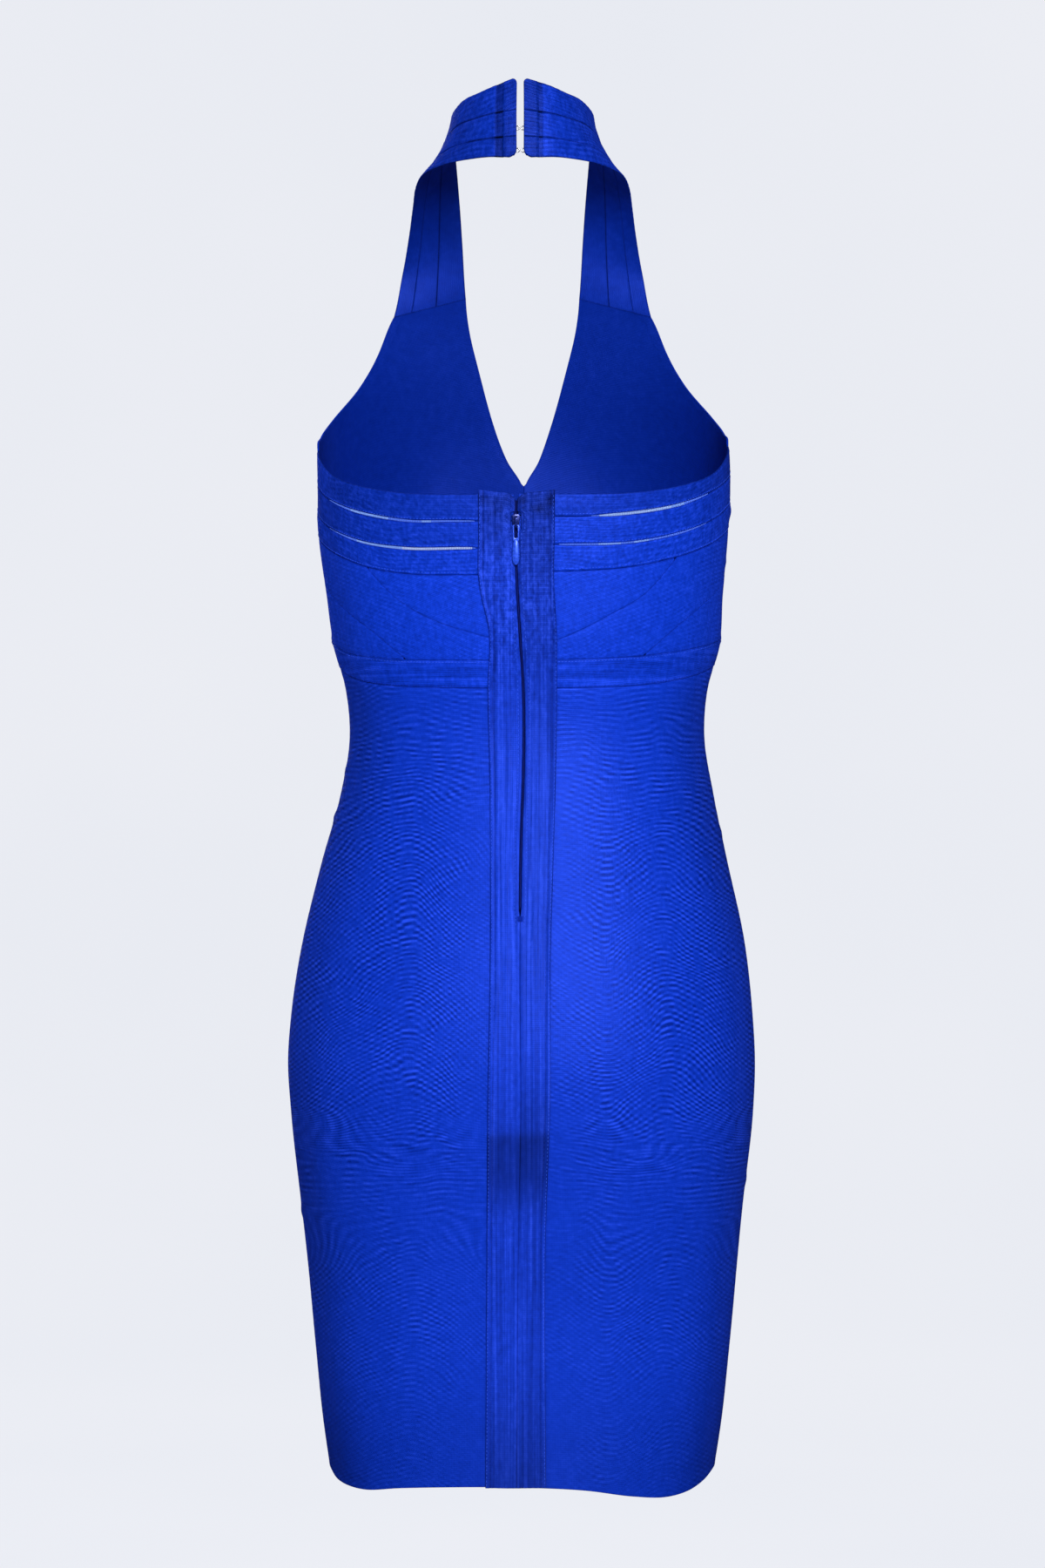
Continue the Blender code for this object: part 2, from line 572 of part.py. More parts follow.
def zip_tape(levels):
    """Zip tape behind the back panels with its chain standing in their gap."""
    half, chain, deep, thick = 9 * MM, 1.1 * MM, -CLOTH - LAY, 0.8 * MM
    sections = []
    for z in levels:
        x = ZIP_X(z)

        def p(dx, out):
            return skin(turn_at(x + dx, z), z, out)
        ridge = LAY - 0.35 * MM if z <= SLIDER_Z - PLATE_H / 2 + 1 * MM else deep + 0.3 * MM
        sections.append([p(-half, deep), p(-chain, deep), p(-chain, ridge), p(chain, ridge),
                         p(chain, deep), p(half, deep), p(half, deep - thick), p(chain, deep - thick),
                         p(-chain, deep - thick), p(-half, deep - thick)])
    n = len(sections[0])
    verts = [q for s in sections for q in s]
    faces = []
    for i in range(len(sections) - 1):
        for k in range(n):
            a, b = i * n + k, i * n + (k + 1) % n
            faces.append((a, b, b + n, a + n))
    for base in (0, (len(sections) - 1) * n):
        faces += [(base + 0, base + 1, base + 8, base + 9), (base + 1, base + 2, base + 3, base + 4),
                  (base + 1, base + 4, base + 7, base + 8), (base + 4, base + 5, base + 6, base + 7)]
    return finish("zip_tape", "zip_cloth", verts, faces)


# ---------------------------------------------------------------- build
def build():
    for ob in list(bpy.data.objects):
        bpy.data.objects.remove(ob, do_unlink=True)

    for side, tag in ((1, "L"), (-1, "R")):
        def place(q, z, side=side):
            return back_turn(side, q, z)

        def at(which, side=side):
            return lambda q: seam(side, which, q)

        # three top strips with open slits between them
        edges = (TOP, SLIT_1, SLIT_2, FOOT_3)
        for k in range(3):
            panel(f"back_strip_{tag}_{k + 1}", "knit", TURNS, STRIP_ROWS, place,
                  at(edges[k]), at(edges[k + 1]),
                  top_gap=0.0 if k == 0 else slit_half(side, k),
                  foot_gap=GAP / 2 if k == 2 else slit_half(side, k + 1))

        # upper back: three pieces between the strips and the band, set diagonally
        a, b = DIAG_A[side], DIAG_B[side]
        foot, head = at(BAND_TOP), at(FOOT_3)
        inner_turns = tuple(q for q in TURNS if q < 42) + (42, 45)
        panel(f"back_yoke_{tag}_1", "knit", inner_turns, YOKE_ROWS, place, head, lambda q: a(q))
        mid_turns = tuple(q for q in TURNS if q < 36) + (36, 42, 46) + tuple(q for q in TURNS if q > 46)

        def upper(q, side=side):
            return a(q) if q <= 46 else head(q)

        def lower(q, side=side):
            return foot(q) if q <= 36 else b(q)
        panel(f"back_yoke_{tag}_2", "knit", mid_turns, YOKE_ROWS, place, upper, lower)
        outer_turns = (37, 42, 46) + tuple(q for q in TURNS if q > 46)
        panel(f"back_yoke_{tag}_3", "knit", outer_turns, YOKE_ROWS, place, lambda q: b(q), foot)

        panel(f"band_back_{tag}", "knit", TURNS, STRIP_ROWS, place, at(BAND_TOP), at(BAND_FOOT))
        panel(f"skirt_back_{tag}", "knit", TURNS, SKIRT_ROWS, place, at(BAND_FOOT),
              lambda q: HEM_Z(side * q), foot_gap=0.0)

        # front bodice half: strap end to under-bust band, neck edge to side seam
        rows = [0.005, 1, 2, 3, 4, 5, 6, 7, 8, 9]
        outer, inner = [], []
        for v in rows:
            ro, ri = [], []
            for f in CUP_SHARES:
                it, iz, ot, oz = cup_edge(side, v)
                lo = GAP / 2 / 0.14 * (1 if v >= 5 else 0)
                g = lo + f * (1 - 2 * lo)
                lift = 0.0
                if v == 9:
                    lift = GAP / 2
                p = cup_point(side, g, v)
                q = cup_point(side, g, v, -CLOTH)
                up = Vector((0, 0, lift))
                ro.append(p + up)
                ri.append(q + up)
            outer.append(ro)
            inner.append(ri)
        wall(f"front_cup_{tag}", "knit", outer, inner)

        for k in range(3):
            halter_strip(f"halter_{tag}_{k + 1}", side, k)
        collar_end(f"collar_end_{tag}", side)

    # front pieces run from side seam to side seam
    def front_place(q, z):
        return q

    turns = [t for t in FRONT_TURNS] + [360 - t for t in reversed(FRONT_TURNS[:-1])]
    turns[0] += SIDE_SEAM
    turns[-1] -= SIDE_SEAM

    def front_seam(which):
        return lambda q: seam(1, which, q) if q <= 180 else seam(-1, which, 360 - q)

    def both(which):
        # the two sides meet at centre front at their mean
        left, right = seam(1, which, 180), seam(-1, which, 180)
        mean = (left + right) / 2

        def f(q):
            s = 1 if q <= 180 else -1
            t = q if q <= 180 else 360 - q
            k = (t - 90) / 90
            return seam(s, which, t) + k * k * (mean - (left if s > 0 else right))
        return f
    panel("band_front", "knit", turns, STRIP_ROWS, front_place, both(BAND_TOP), both(BAND_FOOT))
    panel("skirt_front", "knit", turns, SKIRT_ROWS, front_place, both(BAND_FOOT),
          lambda q: HEM_Z(q if q <= 180 else q - 360), foot_gap=0.0)

    # placket strips share the rows of the panels under them
    edge = 1.2 * MM
    levels = [-0.2696, POCKET[1] + edge, POCKET[1], -0.2880, POCKET[0], POCKET[0] - edge, -0.3062, -0.3245]
    levels += [-0.3500, -0.3770, -0.3823, -0.4013]
    levels += [-0.4013 + v * (HEM_Z(0) + 0.4013) for v in SKIRT_ROWS[1:]]
    placket_levels = [0] + levels[1:]
    placket("placket_L", 1, placket_levels)
    placket("placket_R", -1, placket_levels)

    zip_levels = [-0.2740, -0.2880, SLIDER_Z - PLATE_H / 2 + 1.6 * MM, SLIDER_Z - PLATE_H / 2 + 1.0 * MM]
    zip_levels += [z for z in levels if -0.5500 < z < -0.2950]
    zip_levels += [ZIP_END + 4.5 * MM]
    zip_tape(sorted(set(zip_levels), reverse=True))

    # the slider lies in the placket's pocket, the pull hangs over the placket
    at = skin(turn_at(ZIP_X(SLIDER_Z), SLIDER_Z), SLIDER_Z, SLIDER_OUT)
    below = skin(turn_at(ZIP_X(SLIDER_Z), SLIDER_Z), SLIDER_Z - 0.004, SLIDER_OUT)
    above = skin(turn_at(ZIP_X(SLIDER_Z), SLIDER_Z), SLIDER_Z + 0.004, SLIDER_OUT)
    lean = atan2(above.y - below.y, above.z - below.z)
    body, helpers = slider()
    for ob in (body,) + helpers:
        ob.location = at
        ob.rotation_euler = (-lean, 0, 0)
    turn_m = Matrix.Rotation(-lean, 4, "X")
    pivot = at + turn_m @ Vector((0, PLATE_T + BRIDGE_ROOM / 2, -PULL_PIVOT_DOWN + 0.0))
    tab, window = pull()
    for ob in (tab, window):
        ob.location = pivot

    # two hooks and eyes close the nape; the hook is on the left half
    deep = -CLOTH - LAY - 1.0 * MM - GAP - WIRE
    middle = (HALTER_START[1] - HALTER_START[-1]) / 2
    for k, share in ((1, 0.62), (2, 0.90)):
        for side, kind in ((1, "hook"), (-1, "eye")):
            half = BEND / 0.056
            a0, a1 = (halter_skin(side, share - half, u, deep) for u in (0.16, 0.0))
            b0, b1 = (halter_skin(side, share + half, u, deep) for u in (0.0, 0.16))
            tip = middle + side * (WIRE + 0.2 * MM)
            m = (a1 + b0) / 2
            bend = [(tip + side * BEND * (1 - cos(radians(a))), m.y, m.z + BEND * sin(radians(a)))
                    for a in (72, 36, 0, -36, -72)]
            wire(f"{kind}_{k}", [a0, a1] + bend + [b0, b1], WIRE)


build()
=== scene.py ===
"""Looks of the halter bandage dress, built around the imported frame.

Metres, +Z up; the dress faces -Y, its back is +Y, the wearer's left is +X. Each
cloth piece is a thin closed shell on the same figure surface as its solid, with
its own relief: rolled edges, sewn grooves, puckers and soft creases. Stitches,
the zip's coil, its slider and pull and the hooks are modelled; the knit is in
the material.
"""
import json
from math import atan2, cos, degrees, pi, radians, sin

import bmesh
import bpy
import numpy as np
from mathutils import Matrix, Vector
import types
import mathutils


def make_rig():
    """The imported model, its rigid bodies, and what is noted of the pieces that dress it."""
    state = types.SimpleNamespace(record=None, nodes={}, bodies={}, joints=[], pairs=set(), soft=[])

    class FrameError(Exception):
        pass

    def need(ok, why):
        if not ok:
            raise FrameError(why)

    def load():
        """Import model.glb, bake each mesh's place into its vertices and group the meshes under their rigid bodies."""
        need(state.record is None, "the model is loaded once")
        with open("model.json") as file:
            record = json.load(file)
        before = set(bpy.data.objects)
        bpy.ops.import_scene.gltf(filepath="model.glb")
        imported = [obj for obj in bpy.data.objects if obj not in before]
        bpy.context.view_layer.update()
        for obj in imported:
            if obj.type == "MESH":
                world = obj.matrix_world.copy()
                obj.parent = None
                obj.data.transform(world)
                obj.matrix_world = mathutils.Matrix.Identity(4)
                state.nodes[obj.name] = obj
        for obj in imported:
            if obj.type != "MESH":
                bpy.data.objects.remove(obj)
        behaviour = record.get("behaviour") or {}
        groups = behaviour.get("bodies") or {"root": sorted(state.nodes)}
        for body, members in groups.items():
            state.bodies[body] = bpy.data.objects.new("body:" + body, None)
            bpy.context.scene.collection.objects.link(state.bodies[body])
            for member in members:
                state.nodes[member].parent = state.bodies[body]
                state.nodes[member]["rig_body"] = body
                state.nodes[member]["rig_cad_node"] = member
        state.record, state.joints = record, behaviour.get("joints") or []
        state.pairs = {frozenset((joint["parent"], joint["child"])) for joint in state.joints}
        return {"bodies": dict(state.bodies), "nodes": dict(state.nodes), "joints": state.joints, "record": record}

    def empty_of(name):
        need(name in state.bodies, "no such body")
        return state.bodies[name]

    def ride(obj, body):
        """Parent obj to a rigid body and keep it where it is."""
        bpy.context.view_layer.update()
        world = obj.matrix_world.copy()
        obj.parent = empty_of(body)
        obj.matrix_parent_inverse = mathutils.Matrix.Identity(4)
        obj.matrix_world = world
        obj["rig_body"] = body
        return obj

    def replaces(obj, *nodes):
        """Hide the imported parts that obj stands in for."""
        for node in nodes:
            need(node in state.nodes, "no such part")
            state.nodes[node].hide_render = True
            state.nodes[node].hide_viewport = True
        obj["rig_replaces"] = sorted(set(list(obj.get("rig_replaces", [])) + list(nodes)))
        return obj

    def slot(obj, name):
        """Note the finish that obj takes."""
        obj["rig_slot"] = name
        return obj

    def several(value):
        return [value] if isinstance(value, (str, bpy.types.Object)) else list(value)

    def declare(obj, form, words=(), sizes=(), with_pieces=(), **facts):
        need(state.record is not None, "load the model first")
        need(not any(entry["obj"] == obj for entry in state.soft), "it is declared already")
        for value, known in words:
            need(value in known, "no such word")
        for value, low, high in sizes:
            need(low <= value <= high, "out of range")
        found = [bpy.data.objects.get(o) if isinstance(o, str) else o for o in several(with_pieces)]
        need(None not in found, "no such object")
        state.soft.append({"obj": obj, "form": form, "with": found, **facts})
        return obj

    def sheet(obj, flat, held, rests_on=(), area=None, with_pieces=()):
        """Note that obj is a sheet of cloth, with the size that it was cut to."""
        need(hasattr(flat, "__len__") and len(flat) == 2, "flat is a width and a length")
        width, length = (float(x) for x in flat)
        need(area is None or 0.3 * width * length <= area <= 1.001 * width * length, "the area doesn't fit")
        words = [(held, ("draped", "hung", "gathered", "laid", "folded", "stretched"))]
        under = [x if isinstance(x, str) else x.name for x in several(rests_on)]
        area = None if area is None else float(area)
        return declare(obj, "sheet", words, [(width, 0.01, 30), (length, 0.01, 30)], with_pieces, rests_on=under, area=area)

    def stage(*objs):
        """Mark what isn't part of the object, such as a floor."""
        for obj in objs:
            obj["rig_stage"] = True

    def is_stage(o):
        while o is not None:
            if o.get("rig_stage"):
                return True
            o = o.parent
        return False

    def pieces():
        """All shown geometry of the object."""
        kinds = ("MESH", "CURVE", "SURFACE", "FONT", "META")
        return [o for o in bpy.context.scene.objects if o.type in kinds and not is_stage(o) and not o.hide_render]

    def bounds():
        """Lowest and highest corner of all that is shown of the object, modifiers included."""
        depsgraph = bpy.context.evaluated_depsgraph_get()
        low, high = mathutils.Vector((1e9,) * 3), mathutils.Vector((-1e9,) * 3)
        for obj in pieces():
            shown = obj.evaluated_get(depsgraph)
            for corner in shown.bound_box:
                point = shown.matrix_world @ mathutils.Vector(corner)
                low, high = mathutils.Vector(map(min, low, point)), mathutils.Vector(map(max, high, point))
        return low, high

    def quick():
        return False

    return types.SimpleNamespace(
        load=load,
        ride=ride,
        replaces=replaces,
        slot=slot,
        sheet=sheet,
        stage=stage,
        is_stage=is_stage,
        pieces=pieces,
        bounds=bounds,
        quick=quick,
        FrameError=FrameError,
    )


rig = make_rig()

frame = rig.load()
cad_low, cad_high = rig.bounds()
FINE = 1.6 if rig.quick() else 1.0       # coarser meshes while trying things

MM = 0.001
CLOTH = 1.5 * MM
GAP = 0.3 * MM
LAY = 0.4 * MM

# ------------------------------------------------------------------ figure
# z, half_width, x_mid, y_side, y_front, y_back, squareness
FIGURE = (
    (0.040, 0.0470, 0.0000, 0.000, -0.050, 0.0525, 2.00),
    (0.020, 0.0480, 0.0000, 0.000, -0.052, 0.0570, 2.00),
    (0.000, 0.0505, 0.0000, 0.000, -0.054, 0.0605, 2.00),
    (-0.020, 0.0560, 0.0000, 0.000, -0.056, 0.0640, 2.05),
    (-0.040, 0.0720, 0.0000, 0.000, -0.058, 0.0690, 2.10),
    (-0.080, 0.1250, 0.0000, 0.000, -0.064, 0.0820, 2.20),
    (-0.120, 0.1500, 0.0000, 0.000, -0.080, 0.0900, 2.30),
    (-0.170, 0.1460, 0.0000, 0.000, -0.096, 0.0940, 2.30),
    (-0.217, 0.1443, 0.0000, 0.000, -0.106, 0.0940, 2.35),
    (-0.262, 0.1442, -0.0010, 0.000, -0.108, 0.0920, 2.35),
    (-0.286, 0.1436, -0.0005, 0.000, -0.107, 0.0905, 2.35),
    (-0.334, 0.1388, -0.0015, -0.001, -0.101, 0.0870, 2.30),
    (-0.370, 0.1350, -0.0028, -0.002, -0.094, 0.0835, 2.25),
    (-0.400, 0.1270, -0.0029, -0.003, -0.087, 0.0785, 2.20),
    (-0.431, 0.1243, -0.0032, -0.003, -0.083, 0.0760, 2.20),
    (-0.475, 0.1308, -0.0033, -0.001, -0.087, 0.0800, 2.20),
    (-0.522, 0.1421, -0.0015, 0.002, -0.095, 0.0910, 2.25),
    (-0.580, 0.1550, -0.0005, 0.004, -0.101, 0.1060, 2.35),
    (-0.628, 0.1612, 0.0004, 0.005, -0.102, 0.1150, 2.40),
    (-0.659, 0.1630, 0.0007, 0.005, -0.101, 0.1175, 2.40),
    (-0.694, 0.1613, 0.0003, 0.004, -0.100, 0.1155, 2.40),
    (-0.757, 0.1548, 0.0003, 0.001, -0.098, 0.1040, 2.35),
    (-0.802, 0.1501, 0.0000, 0.000, -0.096, 0.0960, 2.30),
    (-0.862, 0.1444, 0.0000, -0.001, -0.094, 0.0900, 2.30),
    (-0.908, 0.1397, 0.0001, -0.002, -0.092, 0.0870, 2.30),
    (-0.956, 0.1325, 0.0003, -0.002, -0.090, 0.0855, 2.30),
)
CUP_X, CUP_Z, CUP_REACH_X, CUP_REACH_Z, CUP_FULL = 0.074, -0.283, 0.072, 0.092, 0.016

# turn, top edge, slit 1, slit 2, strip 3 foot, band top, band foot
BACK_LEFT = (
    (0, -0.2696, -0.2880, -0.3062, -0.3245, -0.3823, -0.4013),
    (15, -0.2696, -0.2879, -0.3063, -0.3245, -0.3823, -0.4012),
    (30, -0.2684, -0.2872, -0.3061, -0.3237, -0.3820, -0.4006),
    (45, -0.2632, -0.2815, -0.3015, -0.3185, -0.3805, -0.3993),
    (60, -0.2547, -0.2728, -0.2925, -0.3093, -0.3775, -0.3957),
    (75, -0.2425, -0.2630, -0.2825, -0.2995, -0.3720, -0.3897),
    (90, -0.2330, -0.2545, -0.2745, -0.2925, -0.3660, -0.3840),
)
BACK_RIGHT = (
    (0, -0.2690, -0.2842, -0.3032, -0.3222, -0.3820, -0.4013),
    (15, -0.2694, -0.2848, -0.3037, -0.3218, -0.3818, -0.4011),
    (30, -0.2681, -0.2822, -0.3022, -0.3190, -0.3800, -0.3999),
    (45, -0.2627, -0.2758, -0.2955, -0.3118, -0.3768, -0.3972),
    (60, -0.2535, -0.2655, -0.2855, -0.3025, -0.3722, -0.3925),
    (75, -0.2400, -0.2555, -0.2755, -0.2930, -0.3680, -0.3872),
    (90, -0.2300, -0.2480, -0.2680, -0.2865, -0.3655, -0.3835),
)
TOP, SLIT_1, SLIT_2, FOOT_3, BAND_TOP, BAND_FOOT = 1, 2, 3, 4, 5, 6
# how high the slits stand open: side, slit, then turn and height (mm)
SLIT_OPEN = {
    (1, 1): ((0, 0), (10.4, 0), (12.6, 0.8), (33, 1.4), (50, 1.3), (66, 0), (90, 0)),
    (1, 2): ((0, 0), (10.2, 0), (12.6, 1.4), (33, 1.6), (46, 1.3), (66, 0), (90, 0)),
    (-1, 1): ((0, 0), (19.0, 0), (25.0, 1.5), (33, 1.7), (48, 1.5), (60, 0), (90, 0)),
    (-1, 2): ((0, 0), (10.5, 0), (12.5, 1.0), (33, 0.9), (45, 1.1), (60, 0), (90, 0)),
}
# turn, left height, right height
DIAGONAL_A = ((0, -0.3715, -0.3760), (13, -0.3640, -0.3655), (26, -0.3535, -0.3500),
              (36, -0.3400, -0.3360), (46, -0.3180, -0.3112))
DIAGONAL_B = ((36, -0.3814, -0.3790), (46, -0.3635, -0.3610), (58, -0.3492, -0.3450),
              (75, -0.3330, -0.3300), (90, -0.3210, -0.3180))
# turn, drop of the band's top seam, drop of its foot seam
FRONT_MID = ((90, 0.0000, 0.0000), (120, -0.0040, -0.0045), (150, -0.0075, -0.0085),
             (180, -0.0090, -0.0100))
# turn, height
HEM = ((-180, -0.9480), (-135, -0.9470), (-90, -0.9432), (-76, -0.9440),
       (-66, -0.9492), (-56, -0.9540), (-46, -0.9560), (-34, -0.9536),
       (-20, -0.9484), (0, -0.9457), (20, -0.9462), (36, -0.9485),
       (50, -0.9519), (60, -0.9511), (70, -0.9484), (78, -0.9442),
       (90, -0.9432), (135, -0.9470), (180, -0.9480))
# height, left edge x, zip line x, right edge x
PLACKET = (
    (-0.2660, 0.0300, 0.0042, -0.0219),
    (-0.3010, 0.0300, 0.0045, -0.0217),
    (-0.3250, 0.0300, 0.0040, -0.0214),
    (-0.3440, 0.0268, 0.0030, -0.0222),
    (-0.3580, 0.0234, 0.0022, -0.0231),
    (-0.4010, 0.0236, -0.0005, -0.0235),
    (-0.4650, 0.0222, -0.0005, -0.0226),
    (-0.5000, 0.0219, 0.0008, -0.0216),
    (-0.5880, 0.0219, 0.0018, -0.0190),
    (-0.6780, 0.0234, 0.0012, -0.0187),
    (-0.7800, 0.0241, 0.0028, -0.0156),
    (-0.9457, 0.0252, 0.0041, -0.0160),
)
ZIP_END = -0.5560
ZIP_HALF = 1.5 * MM
GROOVE_HALF = 0.8 * MM
POCKET_HALF, POCKET, POCKET_EDGE = 3.3 * MM, (-0.2945, -0.2824), 1.2 * MM
PLACKET_TOP = ((0.0, -0.2728), (0.12, -0.2702), (0.5, -0.2682), (1.0, -0.2668))

# upper x, y, z, lower x, y, z, how far the middle stands out (mm)
HALTER = (
    (0.0042, 0.0580, 0.0180, 0.0042, 0.0672, -0.0370, 1.0),
    (0.0180, 0.0555, 0.0141, 0.0210, 0.0650, -0.0368, 1.0),
    (0.0300, 0.0478, 0.0102, 0.0365, 0.0565, -0.0370, 0.8),
    (0.0400, 0.0345, 0.0078, 0.0510, 0.0435, -0.0378, -0.6),
    (0.0465, 0.0190, 0.0040, 0.0625, 0.0270, -0.0394, -2.6),
    (0.0498, 0.0025, 0.0000, 0.0715, 0.0040, -0.0418, -4.2),
    (0.0495, -0.0170, -0.0100, 0.0760, -0.0190, -0.0475, -3.6),
    (0.0475, -0.0370, -0.0265, 0.0785, -0.0410, -0.0590, -2.0),
    (0.0450, -0.0560, -0.0530, 0.0815, -0.0600, -0.0770, -0.4),
    (0.0430, -0.0700, -0.0820, 0.0860, -0.0720, -0.1010, 0.5),
)
HALTER_SEAMS = (0.0, 0.40, 0.74, 1.0)
CORNER, TOP_CORNER = 6.0 * MM, 2.8 * MM
HALTER_START = {1: 0.0040, -1: 0.0008}
WIRE, BEND = 0.35 * MM, 1.3 * MM
# neck-edge turn, z, outer-edge turn, z
CUP = (
    (164.4, -0.1180, 144.3, -0.1320),
    (166.1, -0.1500, 137.4, -0.1600),
    (168.8, -0.1800, 128.0, -0.1870),
    (171.9, -0.2080, 115.0, -0.2080),
    (175.4, -0.2320, 102.0, -0.2220),
    (179.9, -0.2530, 90.0, -0.2330),
    (180.0, -0.2820, 90.0, -0.2750),
    (180.0, -0.3120, 90.0, -0.3080),
    (180.0, -0.3430, 90.0, -0.3380),
    (180.0, -0.3750, 90.0, -0.3660),
)
SLIDER_Z, PULL_PIVOT_DOWN = -0.2884, 2.6 * MM
PLATE_W, PLATE_H, PLATE_T = 5.8 * MM, 10.0 * MM, 1.2 * MM
SLIDER_OUT = 0.6 * MM
BRIDGE_W, BRIDGE_ROOM, BRIDGE_T = 2.0 * MM, 1.9 * MM, 0.8 * MM
PULL_BAR, PULL_LOOP_W, PULL_LOOP_L = 0.9 * MM, 4.6 * MM, 9.0 * MM
PULL_W, PULL_L, PULL_T = 5.0 * MM, 26.8 * MM, 0.9 * MM


# ------------------------------------------------------------------ curves
def curve(xs, ys):
    """The same smooth curve as the solids', for whole arrays."""
    xs, ys = np.array(xs, float), np.array(ys, float)
    h = np.diff(xs)
    d = (np.diff(ys, axis=0).T / h).T
    m = np.zeros_like(ys)
    m[0], m[-1] = d[0], d[-1]
    for i in range(1, len(xs) - 1):
        m[i] = (d[i - 1] * h[i] + d[i] * h[i - 1]) / (h[i - 1] + h[i])

    def value(x):
        x = np.clip(np.asarray(x, float), xs[0], xs[-1])
        i = np.clip(np.searchsorted(xs, x) - 1, 0, len(xs) - 2)
        t, w = (x - xs[i]) / h[i], h[i]
        if ys.ndim == 2:
            t, w = t[..., None], w[..., None]
        return ((2 * t**3 - 3 * t**2 + 1) * ys[i] + (t**3 - 2 * t**2 + t) * w * m[i]
                + (3 * t**2 - 2 * t**3) * ys[i + 1] + (t**3 - t**2) * w * m[i + 1])
    return value


def column(rows, key, value):
    rows = sorted(rows, key=lambda r: r[key])
    return curve([r[key] for r in rows], [r[value] for r in rows])


HALF, MID, SIDE, FRONT, BACK, SQUARE = (column(FIGURE, 0, k) for k in range(1, 7))
SEAMS = {s: {k: column(t, 0, k) for k in range(1, 7)} for s, t in ((1, BACK_LEFT), (-1, BACK_RIGHT))}
DIAG_A = {1: column(DIAGONAL_A, 0, 1), -1: column(DIAGONAL_A, 0, 2)}
DIAG_B = {1: column(DIAGONAL_B, 0, 1), -1: column(DIAGONAL_B, 0, 2)}
DROP = {BAND_TOP: column(FRONT_MID, 0, 1), BAND_FOOT: column(FRONT_MID, 0, 2)}
HEM_Z = column(HEM, 0, 1)
EDGE_X = {1: column(PLACKET, 0, 1), -1: column(PLACKET, 0, 3)}
ZIP_X = column(PLACKET, 0, 2)
CUP_ROWS = curve(range(len(CUP)), CUP)


def step(a, b, x):
    """0 below a, 1 above b, smooth between."""
    t = np.clip((np.asarray(x, float) - a) / (b - a), 0, 1)
    return t * t * (3 - 2 * t)


def bell(x, w):
    return np.exp(-(np.asarray(x, float) / w)**2)


def noise(x, y, seed):
    """Smooth value noise in -1..1, one lattice step per unit."""
    table = np.random.RandomState(seed).uniform(-1, 1, (64, 64))
    x, y = np.broadcast_arrays(np.asarray(x, float), np.asarray(y, float))
    i, j = np.floor(x).astype(int), np.floor(y).astype(int)
    u, v = x - i, y - j
    u, v = u * u * (3 - 2 * u), v * v * (3 - 2 * v)

    def t(a, b):
        return table[a % 64, b % 64]
    return ((t(i, j) * (1 - u) + t(i + 1, j) * u) * (1 - v)
            + (t(i, j + 1) * (1 - u) + t(i + 1, j + 1) * u) * v)


# ------------------------------------------------------------------ surface
def point(turn, z):
    turn, z = np.broadcast_arrays(np.asarray(turn, float), np.asarray(z, float))
    a, xm, ys, yf, yb, n = HALF(z), MID(z), SIDE(z), FRONT(z), BACK(z), SQUARE(z)
    s, c = np.sin(np.radians(turn)), np.cos(np.radians(turn))
    r = (np.abs(s)**n + np.abs(c)**n)**(-1 / n)
    x = a * s * r
    y = ys + np.where(c > 0, yb - ys, ys - yf) * c * r
    d = ((np.abs(x) - CUP_X) / CUP_REACH_X)**2 + ((z - CUP_Z) / CUP_REACH_Z)**2
    y = y - np.where(c < 0, CUP_FULL * np.exp(-1.6 * d) * np.minimum(1, -3 * c), 0)
    return np.stack([xm + x, y, z], -1)


def unit(v):
    return v / np.maximum(np.linalg.norm(v, axis=-1, keepdims=True), 1e-12)


def normal(turn, z):
    across = point(turn + 0.5, z) - point(turn - 0.5, z)
    up = point(turn, z + 0.001) - point(turn, z - 0.001)
    return unit(np.cross(up, across))


def skin(turn, z, out=0.0):
    turn, z = np.broadcast_arrays(np.asarray(turn, float), np.asarray(z, float))
    return point(turn, z) + np.asarray(out, float)[..., None] * normal(turn, z)


def turn_at(x, z):
    x, z = np.broadcast_arrays(np.asarray(x, float), np.asarray(z, float))
    a, n = HALF(z), SQUARE(z)
    q = np.minimum(np.abs(x - MID(z)) / a, 0.9999)**n
    t = np.degrees(np.arctan2((q / (1 - q))**(1 / n), 1))
    return np.where(x > MID(z), t, -t)


def opening_half(z):
    k = np.clip((ZIP_END + 0.004 - z) / 0.007, 0, 1)
    return ZIP_HALF + (0.02 * MM - ZIP_HALF) * k


def back_turn(side, q, z):
    inner = side * turn_at(ZIP_X(z) + side * opening_half(z), z)
    return side * (inner + q * (90 - 0.02 - inner) / 90)


def seam(side, which, turn):
    turn = np.asarray(turn, float)
    back = SEAMS[side][which](np.minimum(turn, 90))
    if which in DROP:
        back = back + np.where(turn > 90, DROP[which](np.maximum(turn, 90)), 0)
    return back


def front_seam(which):
    """The band's seams across the front, the two sides meeting at their mean."""
    left, right = seam(1, which, 180.0), seam(-1, which, 180.0)
    mean = (left + right) / 2

    def f(q):
        q = np.asarray(q, float)
        t = np.where(q <= 180, q, 360 - q)
        k = (t - 90) / 90
        return np.where(q <= 180, seam(1, which, t) + k * k * (mean - left),
                        seam(-1, which, t) + k * k * (mean - right))
    return f


# ------------------------------------------------------------------ shells
EDGE_STEPS = (0.10, 0.24, 0.42, 0.65, 0.95, 1.35, 1.9)      # mm in from an edge


